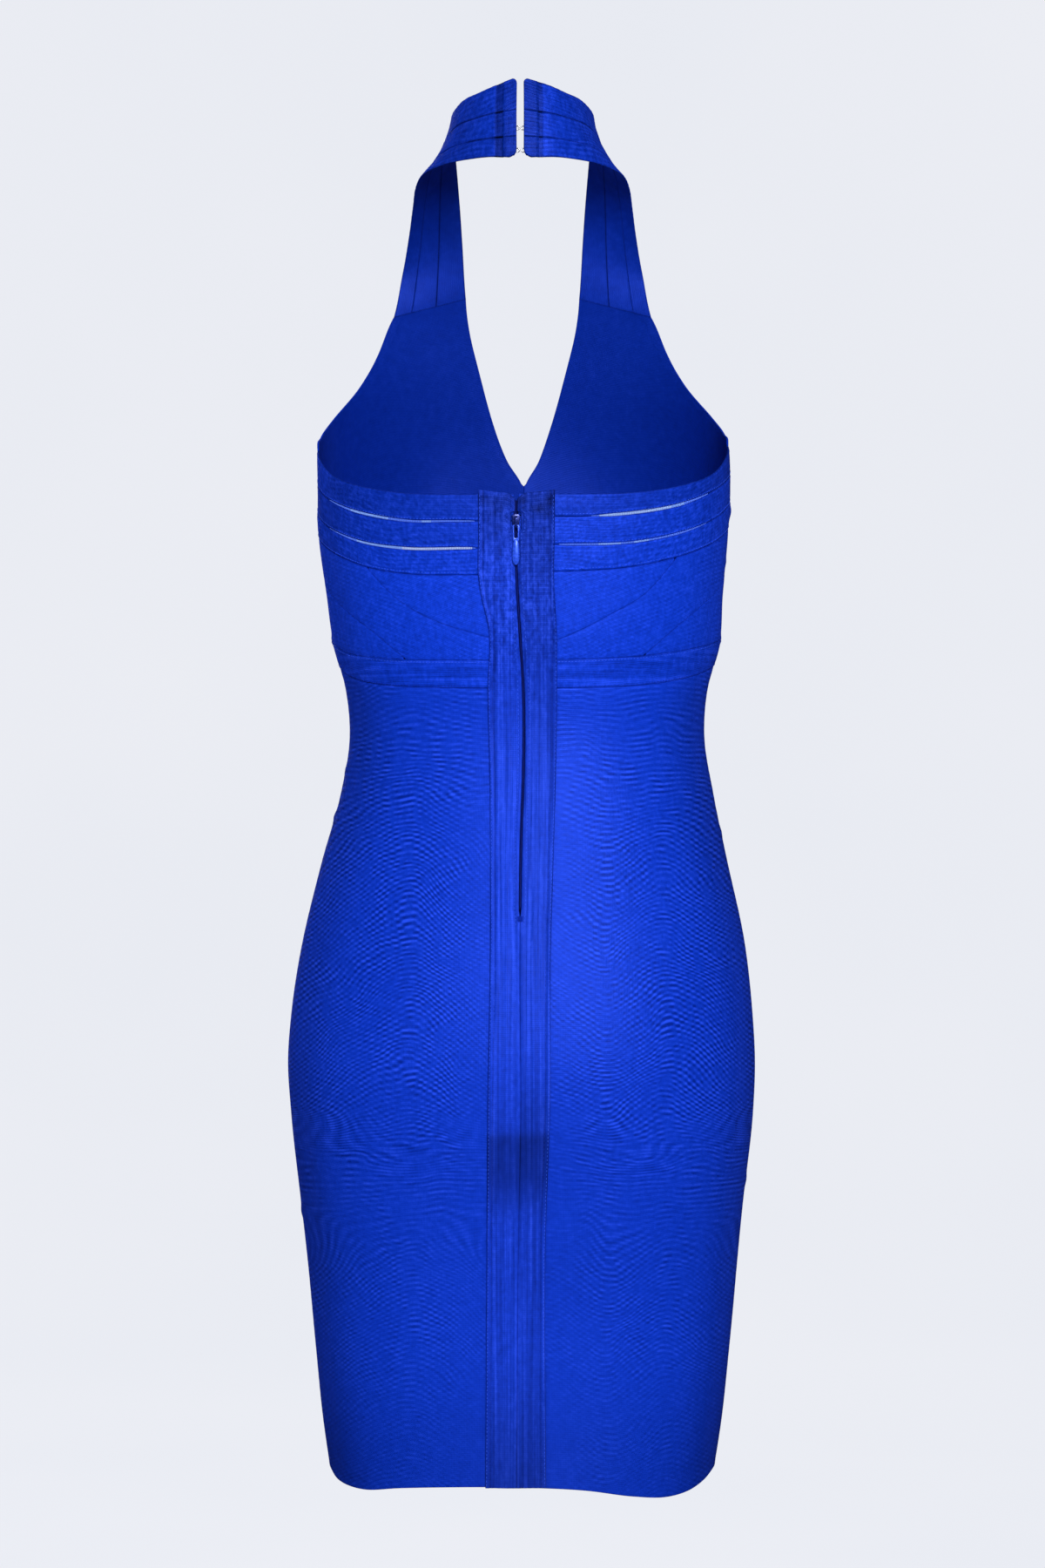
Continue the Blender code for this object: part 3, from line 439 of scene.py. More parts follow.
def stations(length, pitch, low=True, high=True):
    """Shares 0..1 along a length, closer together near its rolled ends."""
    pitch = pitch * FINE
    near = [0.0] + ([e * MM / length for e in EDGE_STEPS] if low else [])
    far = [1.0] + ([1 - e * MM / length for e in EDGE_STEPS] if high else [])
    a, b = near[-1], far[-1]
    n = max(int(round((b - a) * length / pitch)), 2)
    inner = [a + (b - a) * i / n for i in range(1, n)]
    return np.array(near + inner + far[::-1])


def roll(d, r):
    """How far the face falls at distance d from a rolled edge of radius r."""
    k = 1 - np.clip(d / r, 0, 1)
    return r * (1 - np.sqrt(np.maximum(1 - k * k, 0)))


def lengths(P):
    """Distances along rows and columns to each of the grid's four edges."""
    du = np.linalg.norm(np.diff(P, axis=1), axis=-1)
    dv = np.linalg.norm(np.diff(P, axis=0), axis=-1)
    su = np.concatenate([np.zeros((P.shape[0], 1)), np.cumsum(du, 1)], 1)
    sv = np.concatenate([np.zeros((1, P.shape[1])), np.cumsum(dv, 0)], 0)
    return {"left": su, "right": su[:, -1:] - su, "top": sv, "foot": sv[-1:] - sv}


def mesh_object(name, verts, faces, mat, smooth=True):
    mesh = bpy.data.meshes.new(name)
    mesh.from_pydata(verts, [], faces)
    mesh.materials.append(mat)
    mesh.update()
    if smooth:
        mesh.shade_smooth()
    ob = bpy.data.objects.new(name, mesh)
    bpy.context.scene.collection.objects.link(ob)
    return ob


def shell(name, mat, P, N, relief, slot, thick=CLOTH, d=None, inner=None, rolled=("left", "right", "top", "foot"),
          shade=None, swirl=None, cross=None, marks=1.0, uv=None, radius=0.46):
    """A closed thin cloth shell. P and N are the grid of its face and the way out,
    relief the height over it, thick the wall. Its edges are rolled."""
    d = d or lengths(P)
    edge = np.full(P.shape[:2], 1.0)
    for k in rolled:
        edge = np.minimum(edge, d[k])
    r = radius * thick
    fall = roll(edge, r)
    relief = np.broadcast_to(relief, P.shape[:2])
    outer_p = P + (relief - fall)[..., None] * N
    if inner is None:
        inner = relief * 0.5
    inner_p = P + (inner - thick + fall)[..., None] * N
    rows, cols = P.shape[:2]
    n = rows * cols
    verts = np.concatenate([outer_p.reshape(-1, 3), inner_p.reshape(-1, 3)])
    i, j = np.meshgrid(np.arange(rows - 1), np.arange(cols - 1), indexing="ij")
    a = (i * cols + j).ravel()
    b, c, e = a + 1, a + cols + 1, a + cols
    front = np.stack([a, b, c, e], 1)
    back = np.stack([e, c, b, a], 1) + n
    rim = np.concatenate([np.arange(cols), np.arange(2, rows + 1) * cols - 1,
                          (rows - 1) * cols + np.arange(cols - 2, -1, -1), np.arange(rows - 2, 0, -1) * cols])
    nxt = np.roll(rim, -1)
    side = np.stack([nxt, rim, rim + n, nxt + n], 1)
    faces = np.concatenate([front, back, side])
    # keep the faces pointing out whichever way the grid runs
    p = outer_p.reshape(-1, 3)
    k = front[len(front) // 2]
    if np.dot(np.cross(p[k[1]] - p[k[0]], p[k[2]] - p[k[0]]), N.reshape(-1, 3)[k[0]]) < 0:
        faces = faces[:, ::-1]
    ob = mesh_object(name, verts, faces, mat)
    mesh = ob.data
    if uv is None:
        uv = np.stack([d["left"], d["top"]], -1)
    uv = np.concatenate([uv.reshape(-1, 2)] * 2)
    loops = np.zeros(len(mesh.loops), np.int32)
    mesh.loops.foreach_get("vertex_index", loops)
    layer = mesh.uv_layers.new(name="cloth")
    layer.data.foreach_set("uv", uv[loops].astype(np.float32).ravel())
    swirl = 0.0 if swirl is None else swirl
    for key, value in (("shade", 1.0 if shade is None else shade), ("swirl", swirl),
                       ("cross", swirl if cross is None else cross), ("marks", marks), ("edge", edge)):
        value = np.broadcast_to(np.asarray(value, float), P.shape[:2]).ravel()
        att = mesh.attributes.new(key, "FLOAT", "POINT")
        # the knit's reverse is painted darker, as painted shade, and has no watermark
        back = {"shade": 0.58, "marks": 0.0}.get(key, 1.0)
        att.data.foreach_set("value", np.concatenate([value, value * back]).astype(np.float32))
    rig.ride(ob, "dress")
    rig.slot(ob, slot)
    return ob


# ------------------------------------------------------------------ materials
def socket(node, name):
    return node.inputs[name]


class Nodes:
    """A short way to write a material's nodes."""

    def __init__(self, name):
        self.mat = bpy.data.materials.new(name)
        self.mat.use_nodes = True
        self.tree = self.mat.node_tree
        self.shader = self.tree.nodes["Principled BSDF"]

    def node(self, kind, **values):
        made = self.tree.nodes.new(kind)
        for k, v in values.items():
            setattr(made, k, v)
        return made

    def put(self, value, target):
        if isinstance(value, (int, float, tuple)):
            target.default_value = value
        else:
            self.tree.links.new(value, target)

    def math(self, op, a, b=0.0, c=None, clamp=False):
        made = self.node("ShaderNodeMath", operation=op, use_clamp=clamp)
        self.put(a, made.inputs[0])
        self.put(b, made.inputs[1])
        if c is not None:
            self.put(c, made.inputs[2])
        return made.outputs[0]

    def attribute(self, name):
        return self.node("ShaderNodeAttribute", attribute_name=name).outputs["Fac"]

    def uv(self):
        made = self.node("ShaderNodeSeparateXYZ")
        self.put(self.node("ShaderNodeUVMap", uv_map="cloth").outputs[0], made.inputs[0])
        return made.outputs[0], made.outputs[1]

    def place(self, scale):
        made = self.node("ShaderNodeMapping")
        self.put(self.node("ShaderNodeTexCoord").outputs["Object"], made.inputs["Vector"])
        made.inputs["Scale"].default_value = scale
        return made.outputs[0]

    def noise(self, scale, detail=2.0, rough=0.5, where=None):
        made = self.node("ShaderNodeTexNoise")
        made.inputs["Scale"].default_value = scale
        made.inputs["Detail"].default_value = detail
        made.inputs["Roughness"].default_value = rough
        self.put(where if where is not None else self.place((1, 1, 1)), made.inputs["Vector"])
        return made.outputs["Fac"]

    def wave(self, value, pitch):
        """sin(2 pi value / pitch)"""
        return self.math("SINE", self.math("MULTIPLY", value, 2 * pi / pitch))

    def mix(self, fac, a, b):
        made = self.node("ShaderNodeMix", data_type="RGBA")
        self.put(fac, made.inputs[0])
        self.put(a, made.inputs[6])
        self.put(b, made.inputs[7])
        return made.outputs[2]

    def ramp(self, fac, low, high, out_low=0.0, out_high=1.0):
        made = self.node("ShaderNodeMapRange")
        made.clamp = True
        self.put(fac, made.inputs["Value"])
        for k, v in (("From Min", low), ("From Max", high), ("To Min", out_low), ("To Max", out_high)):
            made.inputs[k].default_value = v
        return made.outputs["Result"]

    def bump(self, height, strength, distance, normal_in=None):
        made = self.node("ShaderNodeBump")
        made.inputs["Strength"].default_value = strength
        made.inputs["Distance"].default_value = distance
        self.put(height, made.inputs["Height"])
        if normal_in is not None:
            self.put(normal_in, made.inputs["Normal"])
        return made.outputs[0]

    def finish(self, **values):
        for k, v in values.items():
            self.put(v, self.shader.inputs[k.replace("_", " ")])
        return self.mat


# darkest, main and lightest blue of the knit (linear)
DEEP, MAIN, PALE = (0.0008, 0.015, 0.25, 1), (0.0032, 0.034, 0.50, 1), (0.016, 0.068, 0.79, 1)


def knit(name, course, wale, swirl_amount, mottle, rough, streaks=0.0, diagonal=0.0, deep=DEEP, main=MAIN, pale=PALE,
         spec=0.8, grain=((330, 60, 3.5), (760, 60, 6), (360, 60, 95)), speck=0.0):
    """Bandage knit: courses across, wales up, a watermark of two crossing sets of
    fine wavy lines and a faint mottle. Lengths in metres."""
    n = Nodes(name)
    u, v = n.uv()
    rows = n.wave(v, course)
    cols = n.wave(u, wale)
    one, two = n.wave(n.attribute("swirl"), 1.0), n.wave(n.attribute("cross"), 1.0)
    marks = n.math("MULTIPLY", n.math("MULTIPLY_ADD", two, 0.60, one), n.attribute("marks"))
    patch = n.math("MULTIPLY", n.ramp(n.noise(28, 2.0), 0.36, 0.60, 0.45, 1.0),
                   n.ramp(n.noise(130, 2.0, 0.6), 0.36, 0.60, 0.25, 1.25))
    fine = n.noise(430, 3.0, 0.6)
    blot = n.noise(170, 2.0, 0.55)
    wide = n.noise(9, 2.0)
    f = n.math("MULTIPLY_ADD", n.math("MULTIPLY", marks, patch), swirl_amount, 0.47)
    f = n.math("MULTIPLY_ADD", n.math("SUBTRACT", fine, 0.5), 0.9 * mottle, f)
    f = n.math("MULTIPLY_ADD", n.math("SUBTRACT", blot, 0.5), 1.4 * mottle, f)
    f = n.math("MULTIPLY_ADD", n.math("SUBTRACT", wide, 0.5), 0.25, f)
    f = n.math("MULTIPLY_ADD", rows, 0.05, f)
    height = n.math("MULTIPLY_ADD", rows, 0.5, n.math("MULTIPLY", cols, 0.3))
    height = n.math("MULTIPLY_ADD", fine, 0.6, height)
    height = n.math("MULTIPLY_ADD", marks, 0.35, height)
    if diagonal:
        slant = n.wave(n.math("MULTIPLY_ADD", v, 1.6, u), 2.1 * MM)
        f = n.math("MULTIPLY_ADD", slant, diagonal, f)
    if streaks:
        # lengthwise ribs that come and go, broken by short ripples
        long_one = n.ramp(n.noise(1.0, 1.0, 0.5, where=n.place(grain[0])), 0.34, 0.66, -1.0, 1.0)
        long_two = n.ramp(n.noise(1.0, 1.0, 0.5, where=n.place(grain[1])), 0.34, 0.66, -1.0, 1.0)
        ripple = n.ramp(n.noise(1.0, 2.0, 0.5, where=n.place(grain[2])), 0.36, 0.64, -1.0, 1.0)
        f = n.math("MULTIPLY_ADD", long_one, 0.50 * streaks, f)
        f = n.math("MULTIPLY_ADD", long_two, 0.45 * streaks, f)
        ripple = n.math("MULTIPLY", ripple, n.attribute("marks"))
        f = n.math("MULTIPLY_ADD", ripple, 0.34 * streaks, f)
        height = n.math("MULTIPLY_ADD", long_two, 0.7, height)
        height = n.math("MULTIPLY_ADD", ripple, 0.5, height)
    if speck:
        dots = n.ramp(n.noise(1.0, 2.0, 0.6, where=n.place((360, 360, 230))), 0.36, 0.64, -1.0, 1.0)
        dots = n.math("MULTIPLY", dots, n.attribute("marks"))
        f = n.math("MULTIPLY_ADD", dots, speck, f)
        height = n.math("MULTIPLY_ADD", dots, 0.8, height)
    f = n.math("MULTIPLY", f, 1.0, clamp=True)
    low = n.mix(n.ramp(f, 0.0, 0.5), deep, main)
    colour = n.mix(n.ramp(f, 0.5, 1.0), low, pale)
    # the shade attribute multiplies the colour; it carries the painted shade and painted light set on each piece
    shade = n.attribute("shade")
    dark = n.node("ShaderNodeMix", data_type="RGBA", blend_type="MULTIPLY")
    dark.inputs[0].default_value = 1.0
    grey = n.node("ShaderNodeCombineColor")
    for k in range(3):
        n.put(shade, grey.inputs[k])
    n.put(colour, dark.inputs[6])
    n.put(grey.outputs[0], dark.inputs[7])
    # rolled edges are fuzzier than the face, and the fine fuzz hides any gloss seen edge-on
    matt = n.math("MAXIMUM", n.ramp(fine, 0.3, 0.7, rough - 0.05, rough + 0.05),
                  n.ramp(n.attribute("edge"), 0.0002, 0.0011, 0.95, 0.0))
    side_on = n.node("ShaderNodeLayerWeight")
    side_on.inputs["Blend"].default_value = 0.5
    matt = n.math("MAXIMUM", matt, n.ramp(side_on.outputs["Facing"], 0.30, 0.62, 0.0, 0.95))
    return n.finish(Base_Color=dark.outputs[2], Roughness=matt,
                    Normal=n.bump(height, 0.35, 0.00012), Specular_IOR_Level=spec, Specular_Tint=(0.06, 0.13, 1.0, 1))


KNIT = knit("knit", 1.05 * MM, 0.9 * MM, 0.32, 0.24, 0.42, speck=0.05)
STRIP = knit("strip_knit", 1.2 * MM, 0.9 * MM, 0.12, 0.34, 0.46, diagonal=0.05, speck=0.16)
YOKE = knit("yoke_knit", 1.05 * MM, 0.9 * MM, 0.09, 0.24, 0.46, diagonal=0.04, speck=0.10)
BAND = knit("band_knit", 1.5 * MM, 0.9 * MM, 0.08, 0.26, 0.46, streaks=0.26, speck=0.10,
            grain=((8, 8, 260), (15, 15, 560), (70, 70, 330)))
RIBBED = knit("placket_knit", 1.4 * MM, 1.6 * MM, 0.04, 0.24, 0.46, streaks=0.30, speck=0.24,
              deep=(0.0020, 0.016, 0.25, 1), main=(0.0062, 0.037, 0.50, 1), pale=(0.024, 0.078, 0.80, 1))


def plain(name, colour, rough, metal, scale, amount, distance, **more):
    """A paint, wire or thread with a fine uneven surface."""
    n = Nodes(name)
    grain = n.noise(scale, 3.0, 0.6)
    dull = tuple(c * 0.72 for c in colour[:3]) + (1,)
    return n.finish(Base_Color=n.mix(n.ramp(grain, 0.3, 0.7), dull, colour), Metallic=metal,
                    Roughness=n.ramp(grain, 0.3, 0.7, rough - 0.06, rough + 0.08),
                    Normal=n.bump(grain, amount, distance), **more)


BLUE_GLOSS = dict(Specular_Tint=(0.10, 0.22, 1.0, 1), Specular_IOR_Level=0.5)
THREAD = plain("thread", (0.0036, 0.022, 0.40, 1), 0.55, 0.0, 2500, 0.4, 0.00006, **BLUE_GLOSS)
PALE_THREAD = plain("pale_thread", (0.040, 0.125, 0.90, 1), 0.50, 0.0, 2500, 0.4, 0.00006, **BLUE_GLOSS)
LADDER_THREADS = {
    "pale": plain("ladder_thread_pale", (0.52, 0.65, 1.0, 1), 0.45, 0.0, 2500, 0.3, 0.00004, **BLUE_GLOSS),
    "soft": plain("ladder_thread_soft", (0.40, 0.57, 1.0, 1), 0.45, 0.0, 2500, 0.3, 0.00004, **BLUE_GLOSS),
    "mid": plain("ladder_thread_mid", (0.25, 0.43, 1.0, 1), 0.45, 0.0, 2500, 0.3, 0.00004, **BLUE_GLOSS),
    "blue": plain("ladder_thread_blue", (0.11, 0.23, 0.97, 1), 0.45, 0.0, 2500, 0.3, 0.00004, **BLUE_GLOSS),
}
# where the thread of a slit shows paler: from and to, distance from the middle (mm), and its tone
LADDER_TONE = {
    (1, 1): ((62, 69, "mid"), (92, 118, "mid")),
    (1, 2): ((34, 82, "pale"), (82, 114, "mid")),
    (-1, 1): ((52, 102, "soft"), (102, 111, "mid")),
    (-1, 2): ((52, 67, "mid"), (76, 86, "mid")),
}
# how much each top strip's colour is scaled, counted from the top
STRIP_COLOUR_SCALE = {(1, 0): 0.73, (1, 1): 0.87, (1, 2): 1.05, (-1, 0): 0.78, (-1, 1): 1.0, (-1, 2): 1.08}
TAPE = plain("zip_tape_weave", (0.0010, 0.008, 0.15, 1), 0.80, 0.0, 1800, 0.5, 0.0001, Specular_IOR_Level=0.15)
COIL = plain("zip_coil", (0.0012, 0.010, 0.20, 1), 0.45, 0.0, 900, 0.1, 0.00003, Specular_IOR_Level=0.2)
PAINT = plain("zip_paint", (0.022, 0.085, 0.80, 1), 0.26, 0.15, 700, 0.06, 0.00003, Coat_Weight=0.30,
              Coat_Roughness=0.12, Specular_Tint=(0.30, 0.48, 1.0, 1))
# the slider's paint is set darker than the pull's: partly darker paint, partly painted shade of the pocket it sits in
SLIDER_PAINT_AND_SHADE = plain("slider_enamel", (0.006, 0.022, 0.24, 1), 0.22, 0.55, 700, 0.06, 0.00003, Coat_Weight=0.6,
               Coat_Roughness=0.10)
STEEL = plain("wire", (0.62, 0.63, 0.66, 1), 0.28, 1.0, 1500, 0.08, 0.00002)


# ------------------------------------------------------------------ watermark
def arches(x):
    """Height of the watermark's arches across the dress: on the left one arch,
    on the right a dip beside the placket and then an arch."""
    left = -0.62 * (np.sqrt((x - 0.0765)**2 + 0.010**2) - 0.010)
    one = -0.60 * (np.sqrt((-x - 0.097)**2 + 0.010**2) - 0.010)
    two = -0.48 * (np.sqrt((-x - 0.012)**2 + 0.010**2) - 0.010)
    k = 0.004
    right = k * np.log(np.exp(one / k) + np.exp(two / k))
    return np.where(x > 0, left, right)


def watermark(x, z):
    """Two fields whose level lines are the knit's fine wavy watermark, 3 to 4 mm apart."""
    steep = (0.30 + 0.95 * step(-0.45, -0.53, z) - 1.08 * step(-0.688, -0.722, z)
             + 1.20 * step(-0.752, -0.800, z))
    wander = 0.0060 * noise(x / 0.040 + 7, z / 0.034, 11) + 0.0018 * noise(x / 0.014, z / 0.012, 12)
    lift = arches(x) * steep
    middle = np.where(x > 0, 0.0765, -0.085)
    eye = 0.0075 * np.exp(-((z + 0.7215 + 0.05 * (x - middle)) / 0.0075)**2 - ((x - middle) / 0.034)**2)
    one = (z - lift + wander + eye) / 0.0036
    two = (z + 0.85 * lift + 0.0060 * noise(x / 0.030 + 3, z / 0.040, 13) - eye) / 0.0040
    return one, two


def watermark_amount(x, z):
    """The watermark is plainest on the hips and fades by the placket and towards the hem."""
    middle = 0.62 + 0.53 * step(0.024, 0.060, np.abs(x)) * step(-0.42, -0.47, z)
    return (middle * (1 - 0.42 * bell(z + 0.738, 0.035)) - 0.40 * step(-0.735, -0.775, z) * middle
            - 0.30 * step(-0.83, -0.90, z))


def watermark_strip(u, v, seed):
    return (v + 0.004 * noise(u / 0.030, v / 0.02, seed)) / 0.0030


# ------------------------------------------------------------------ panels
# sewn edges run into each other by this much, so that no light shows through a seam
SEWN = 0.02 * MM


def grid(columns, rows, place, high, low, top_gap=-SEWN, foot_gap=-SEWN):
    """Turn and height of each grid point: nominal turns across, shares of the
    height between two seams down."""
    q, v = np.meshgrid(columns, rows)
    zt = high(q) - (top_gap(q) if callable(top_gap) else top_gap)
    zl = low(q) + (foot_gap(q) if callable(foot_gap) else foot_gap)
    z = zt + v * (zl - zt)
    return place(q, z), z, q, v


def sewn(d, depth=0.28 * MM, reach=1.6 * MM):
    """The dip of cloth that is pulled in by a seam at distance d."""
    return -depth * np.exp(-(d / reach)**1.5)


def pucker(d, along, pitch, height, reach, seed):
    """Short uneven ripples square to a seam, dying away from it."""
    beat = along / pitch + 0.9 * noise(along / (3.3 * pitch), 0.5, seed)
    size = 0.55 + 0.45 * noise(along / (2.1 * pitch), 4.5, seed + 1)
    return height * size * np.sin(2 * pi * beat) * np.exp(-(d / reach)**1.3)


# each piece as cut and laid flat, without seam allowance: width, length (mm), area (cm2).
# Worn, the knit is stretched 9 % round the body and 2 % down it, the strap 4 % along.
CUT = (
    ("back_strip_L_1", 178, 22, 32), ("back_strip_L_2", 176, 20, 32), ("back_strip_L_3", 174, 19, 29),
    ("back_strip_R_1", 188, 18, 26), ("back_strip_R_2", 186, 20, 34), ("back_strip_R_3", 184, 20, 31),
    ("back_yoke_L_1", 110, 47, 29), ("back_yoke_L_2", 192, 46, 51), ("back_yoke_L_3", 102, 45, 24),
    ("back_yoke_R_1", 115, 54, 33), ("back_yoke_R_2", 200, 50, 56), ("back_yoke_R_3", 104, 47, 25),
    ("band_back_L", 159, 20, 30), ("band_back_R", 166, 22, 33), ("band_front", 342, 21, 66),
    ("collar_end_L", 54, 18, 8), ("collar_end_R", 53, 21, 10), ("front_cup_L", 200, 279, 367),
    ("front_cup_R", 200, 279, 367), ("halter_L_1", 24, 220, 39), ("halter_L_2", 20, 221, 33),
    ("halter_L_3", 18, 224, 26), ("halter_R_1", 24, 223, 40), ("halter_R_2", 20, 224, 33),
    ("halter_R_3", 18, 227, 26), ("placket_L", 28, 676, 153), ("placket_R", 28, 675, 148),
    ("skirt_back_L", 208, 556, 977), ("skirt_back_R", 209, 557, 1006), ("skirt_front", 406, 556, 1984),
    ("zip_tape", 18, 282, 51),
)
made = {}


SIDE_SHADE = 0.15              # painted shade on the skirt beside the side seams
# where the side seams bulge: side, height, half its length and its size (mm)
BULGES = ((1, -0.3660, 3.2, 1.0), (-1, -0.3658, 3.2, 0.9), (-1, -0.2760, 5.0, 1.3), (1, -0.2800, 4.0, 0.5),
          (-1, -0.3112, 3.0, 0.5))


def side_bulge(side, z, d):
    """How far cloth at height z and distance d from a side seam stands out."""
    return sum(size * MM * bell(z - at, half * MM) * bell(d, 6 * MM) for s, at, half, size in BULGES if s == side)


def slit_half(side, which):
    """Half the height of a slit of the back, from the placket to the side seam."""
    turns, heights = zip(*SLIT_OPEN[side, which])
    return lambda q: np.interp(q, turns, heights) * MM / 2 - SEWN * (np.interp(q, turns, heights) <= 0)


def spread(lo, hi, length, pitch, low=True, high=True):
    return lo + (hi - lo) * stations(length, pitch, low, high)


for side, tag in ((1, "L"), (-1, "R")):
    def place(q, z, side=side):
        return back_turn(side, q, z)

    def at(which, side=side):
        return lambda q: seam(side, which, q)

    seed = 20 if side > 0 else 60
    # ---- the three top strips with open slits between them
    edges = (TOP, SLIT_1, SLIT_2, FOOT_3)
    for k in range(3):
        name = f"back_strip_{tag}_{k + 1}"
        t, z, q, v = grid(spread(0, 90, 0.165, 1.7 * MM), stations(0.018, 1.1 * MM), place,
                          at(edges[k]), at(edges[k + 1]),
                          top_gap=0.0 if k == 0 else slit_half(side, k),
                          foot_gap=-SEWN if k == 2 else slit_half(side, k + 1))
        P, N = point(t, z), normal(t, z)
        d = lengths(P)
        # a strip is a soft flat tube: crowned, with a firm bead along its edges
        high = np.minimum(d["top"], d["foot"])
        relief = 0.35 * MM * step(0, 6 * MM, high) - 0.10 * MM
        relief = relief + 0.22 * MM * bell(high - 1.5 * MM, 0.9 * MM)
        relief = relief + 0.22 * MM * noise(d["left"] / 0.017, d["top"] / 0.009 + 3 * k, seed + k)
        wave = pucker(high, d["left"], 6.5 * MM, 0.16 * MM, 4 * MM, seed + 5 + k)
        relief = relief + wave + side_bulge(side, z, d["right"])
        if k == 2:
            relief = relief + sewn(d["foot"])
        relief = relief + sewn(d["right"], 0.2 * MM)
        # painted shade in the seam, and a light bead of stitches just above and below it
        shade = 1 - 0.42 * np.exp(-(high / (0.7 * MM))**2) - 0.08 * bell(d["foot"] - 3.0 * MM, 0.6 * MM)
        shade = shade + (0.24 + 0.14 * noise(d["left"] / 0.0035, k + 0.5, seed + 14)) * bell(d["foot"] - 1.6 * MM, 0.65 * MM)
        shade = shade + (0.10 + 0.08 * noise(d["left"] / 0.0035, k + 3.5, seed + 14)) * bell(d["top"] - 1.5 * MM, 0.6 * MM)
        tone = STRIP_COLOUR_SCALE[side, k]
        shade = shade * (tone + (1 - tone) * step(50, 72, q) if k == 0 and side > 0 else tone)
        made[name] = shell(name, STRIP, P, N, relief, "bandage_knit", d=d, shade=shade,
                           swirl=watermark_strip(d["left"], d["top"], seed + 9 + k),
                           cross=(d["left"] * 0.5 + d["top"]) / 0.0030)
        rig.replaces(made[name], name)

    # ---- upper back, three pieces set diagonally
    a, b = DIAG_A[side], DIAG_B[side]
    foot, head = at(BAND_TOP), at(FOOT_3)

    def upper(q, side=side, a=a, head=head):
        return np.where(q <= 46, a(np.minimum(q, 46)), head(q))

    def lower(q, side=side, b=b, foot=foot):
        return np.where(q <= 36, foot(q), b(np.maximum(q, 36)))

    def corner_spread(lo, hi, corner, length, pitch):
        """Columns with one exactly at the corner of the piece."""
        share = (corner - lo) / (hi - lo)
        first = lo + (corner - lo) * stations(length * share, pitch, True, False)
        second = corner + (hi - corner) * stations(length * (1 - share), pitch, False, True)
        return np.concatenate([first, second[1:]])

    pieces_of = (
        (1, spread(0, 45.0, 0.085, 1.7 * MM), head, lambda q, a=a: a(q)),
        (2, np.unique(np.concatenate([corner_spread(0, 46, 36, 0.086, 1.7 * MM),
                                      46 + 44 * stations(0.080, 1.7 * MM, False, True)])), upper, lower),
        (3, spread(37, 90, 0.095, 1.7 * MM), lambda q, b=b: b(q), foot),
    )
    for k, columns, high_edge, low_edge in pieces_of:
        name = f"back_yoke_{tag}_{k}"
        t, z, q, v = grid(columns, stations(0.045, 1.6 * MM), place, high_edge, low_edge)
        P, N = point(t, z), normal(t, z)
        d = lengths(P)
        dip_top, dip_foot = sewn(d["top"], 0.2 * MM), sewn(d["foot"], 0.2 * MM)
        relief = dip_top + dip_foot + 0.15 * MM * noise(P[..., 0] / 0.03, z / 0.02, seed + 31 + k)
        along = d["left"]
        relief = relief + pucker(d["top"], along, 5.5 * MM, 0.10 * MM, 5 * MM, seed + 33 + k)
        relief = relief + pucker(d["foot"], along, 6.0 * MM, 0.12 * MM, 5 * MM, seed + 36 + k)
        if k != 1:
            relief = relief + side_bulge(side, z, d["right"])
        # painted shade in the seams: fine along the diagonal seams, darker along those to the strip and the band
        to_strip = np.where((k == 1) | ((k == 2) & (q > 46)), 1.0, 0.0)
        to_band = np.where((k == 3) | ((k == 2) & (q < 36)), 1.0, 0.0)
        faint = 0.30 + 0.12 * noise(along / 0.012, 0.5, seed + 39) - 0.24 * step(44, 72, q)
        # the yoke's colour is lifted above 1 as painted light, more on the left
        yoke_shade = (1.18 if side > 0 else 1.13) - (faint + (0.36 - faint) * to_strip) * bell(d["top"], 0.7 * MM)
        yoke_shade = yoke_shade - (faint + (0.36 - faint) * to_band) * bell(d["foot"], 0.7 * MM)
        # the courses of these pieces run down towards the placket
        slope = 0.42 if k == 2 else 0.34
        height = (z + 0.38) - slope * np.abs(P[..., 0])
        uv = np.stack([d["left"], height], -1)
        made[name] = shell(name, YOKE, P, N, relief, "bandage_knit", d=d, uv=uv,
                           swirl=(height + 0.002 * noise(P[..., 0] / 0.02, z / 0.015, seed + 40)) / 0.0030,
                           cross=(z + 0.5 * np.abs(P[..., 0])) / 0.0027,
                           shade=yoke_shade, radius=0.24)
        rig.replaces(made[name], name)

    # ---- band
    name = f"band_back_{tag}"
    t, z, q, v = grid(spread(0, 90, 0.155, 1.7 * MM), stations(0.019, 1.2 * MM), place, at(BAND_TOP), at(BAND_FOOT))
    P, N = point(t, z), normal(t, z)
    d = lengths(P)
    high = np.minimum(d["top"], d["foot"])
    relief = 0.30 * MM * step(0, 5 * MM, high) - 0.12 * MM + 0.16 * MM * bell(high - 1.6 * MM, 0.9 * MM)
    relief = relief + 0.16 * MM * noise(d["left"] / 0.02, d["top"] / 0.010, seed + 50)
    relief = relief + pucker(high, d["left"], 5.5 * MM, 0.12 * MM, 5 * MM, seed + 51)
    relief = relief + side_bulge(side, z, d["right"])
    # the band's colour is lifted as painted light, with painted shade along its seams
    made[name] = shell(name, BAND, P, N, relief, "bandage_knit", d=d,
                       swirl=2.2 * watermark_strip(d["left"] * 0.4, d["top"], seed + 52),
                       shade=(1.14 if side > 0 else 1.10) - 0.36 * np.exp(-(high / (0.75 * MM))**2))
    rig.replaces(made[name], name)

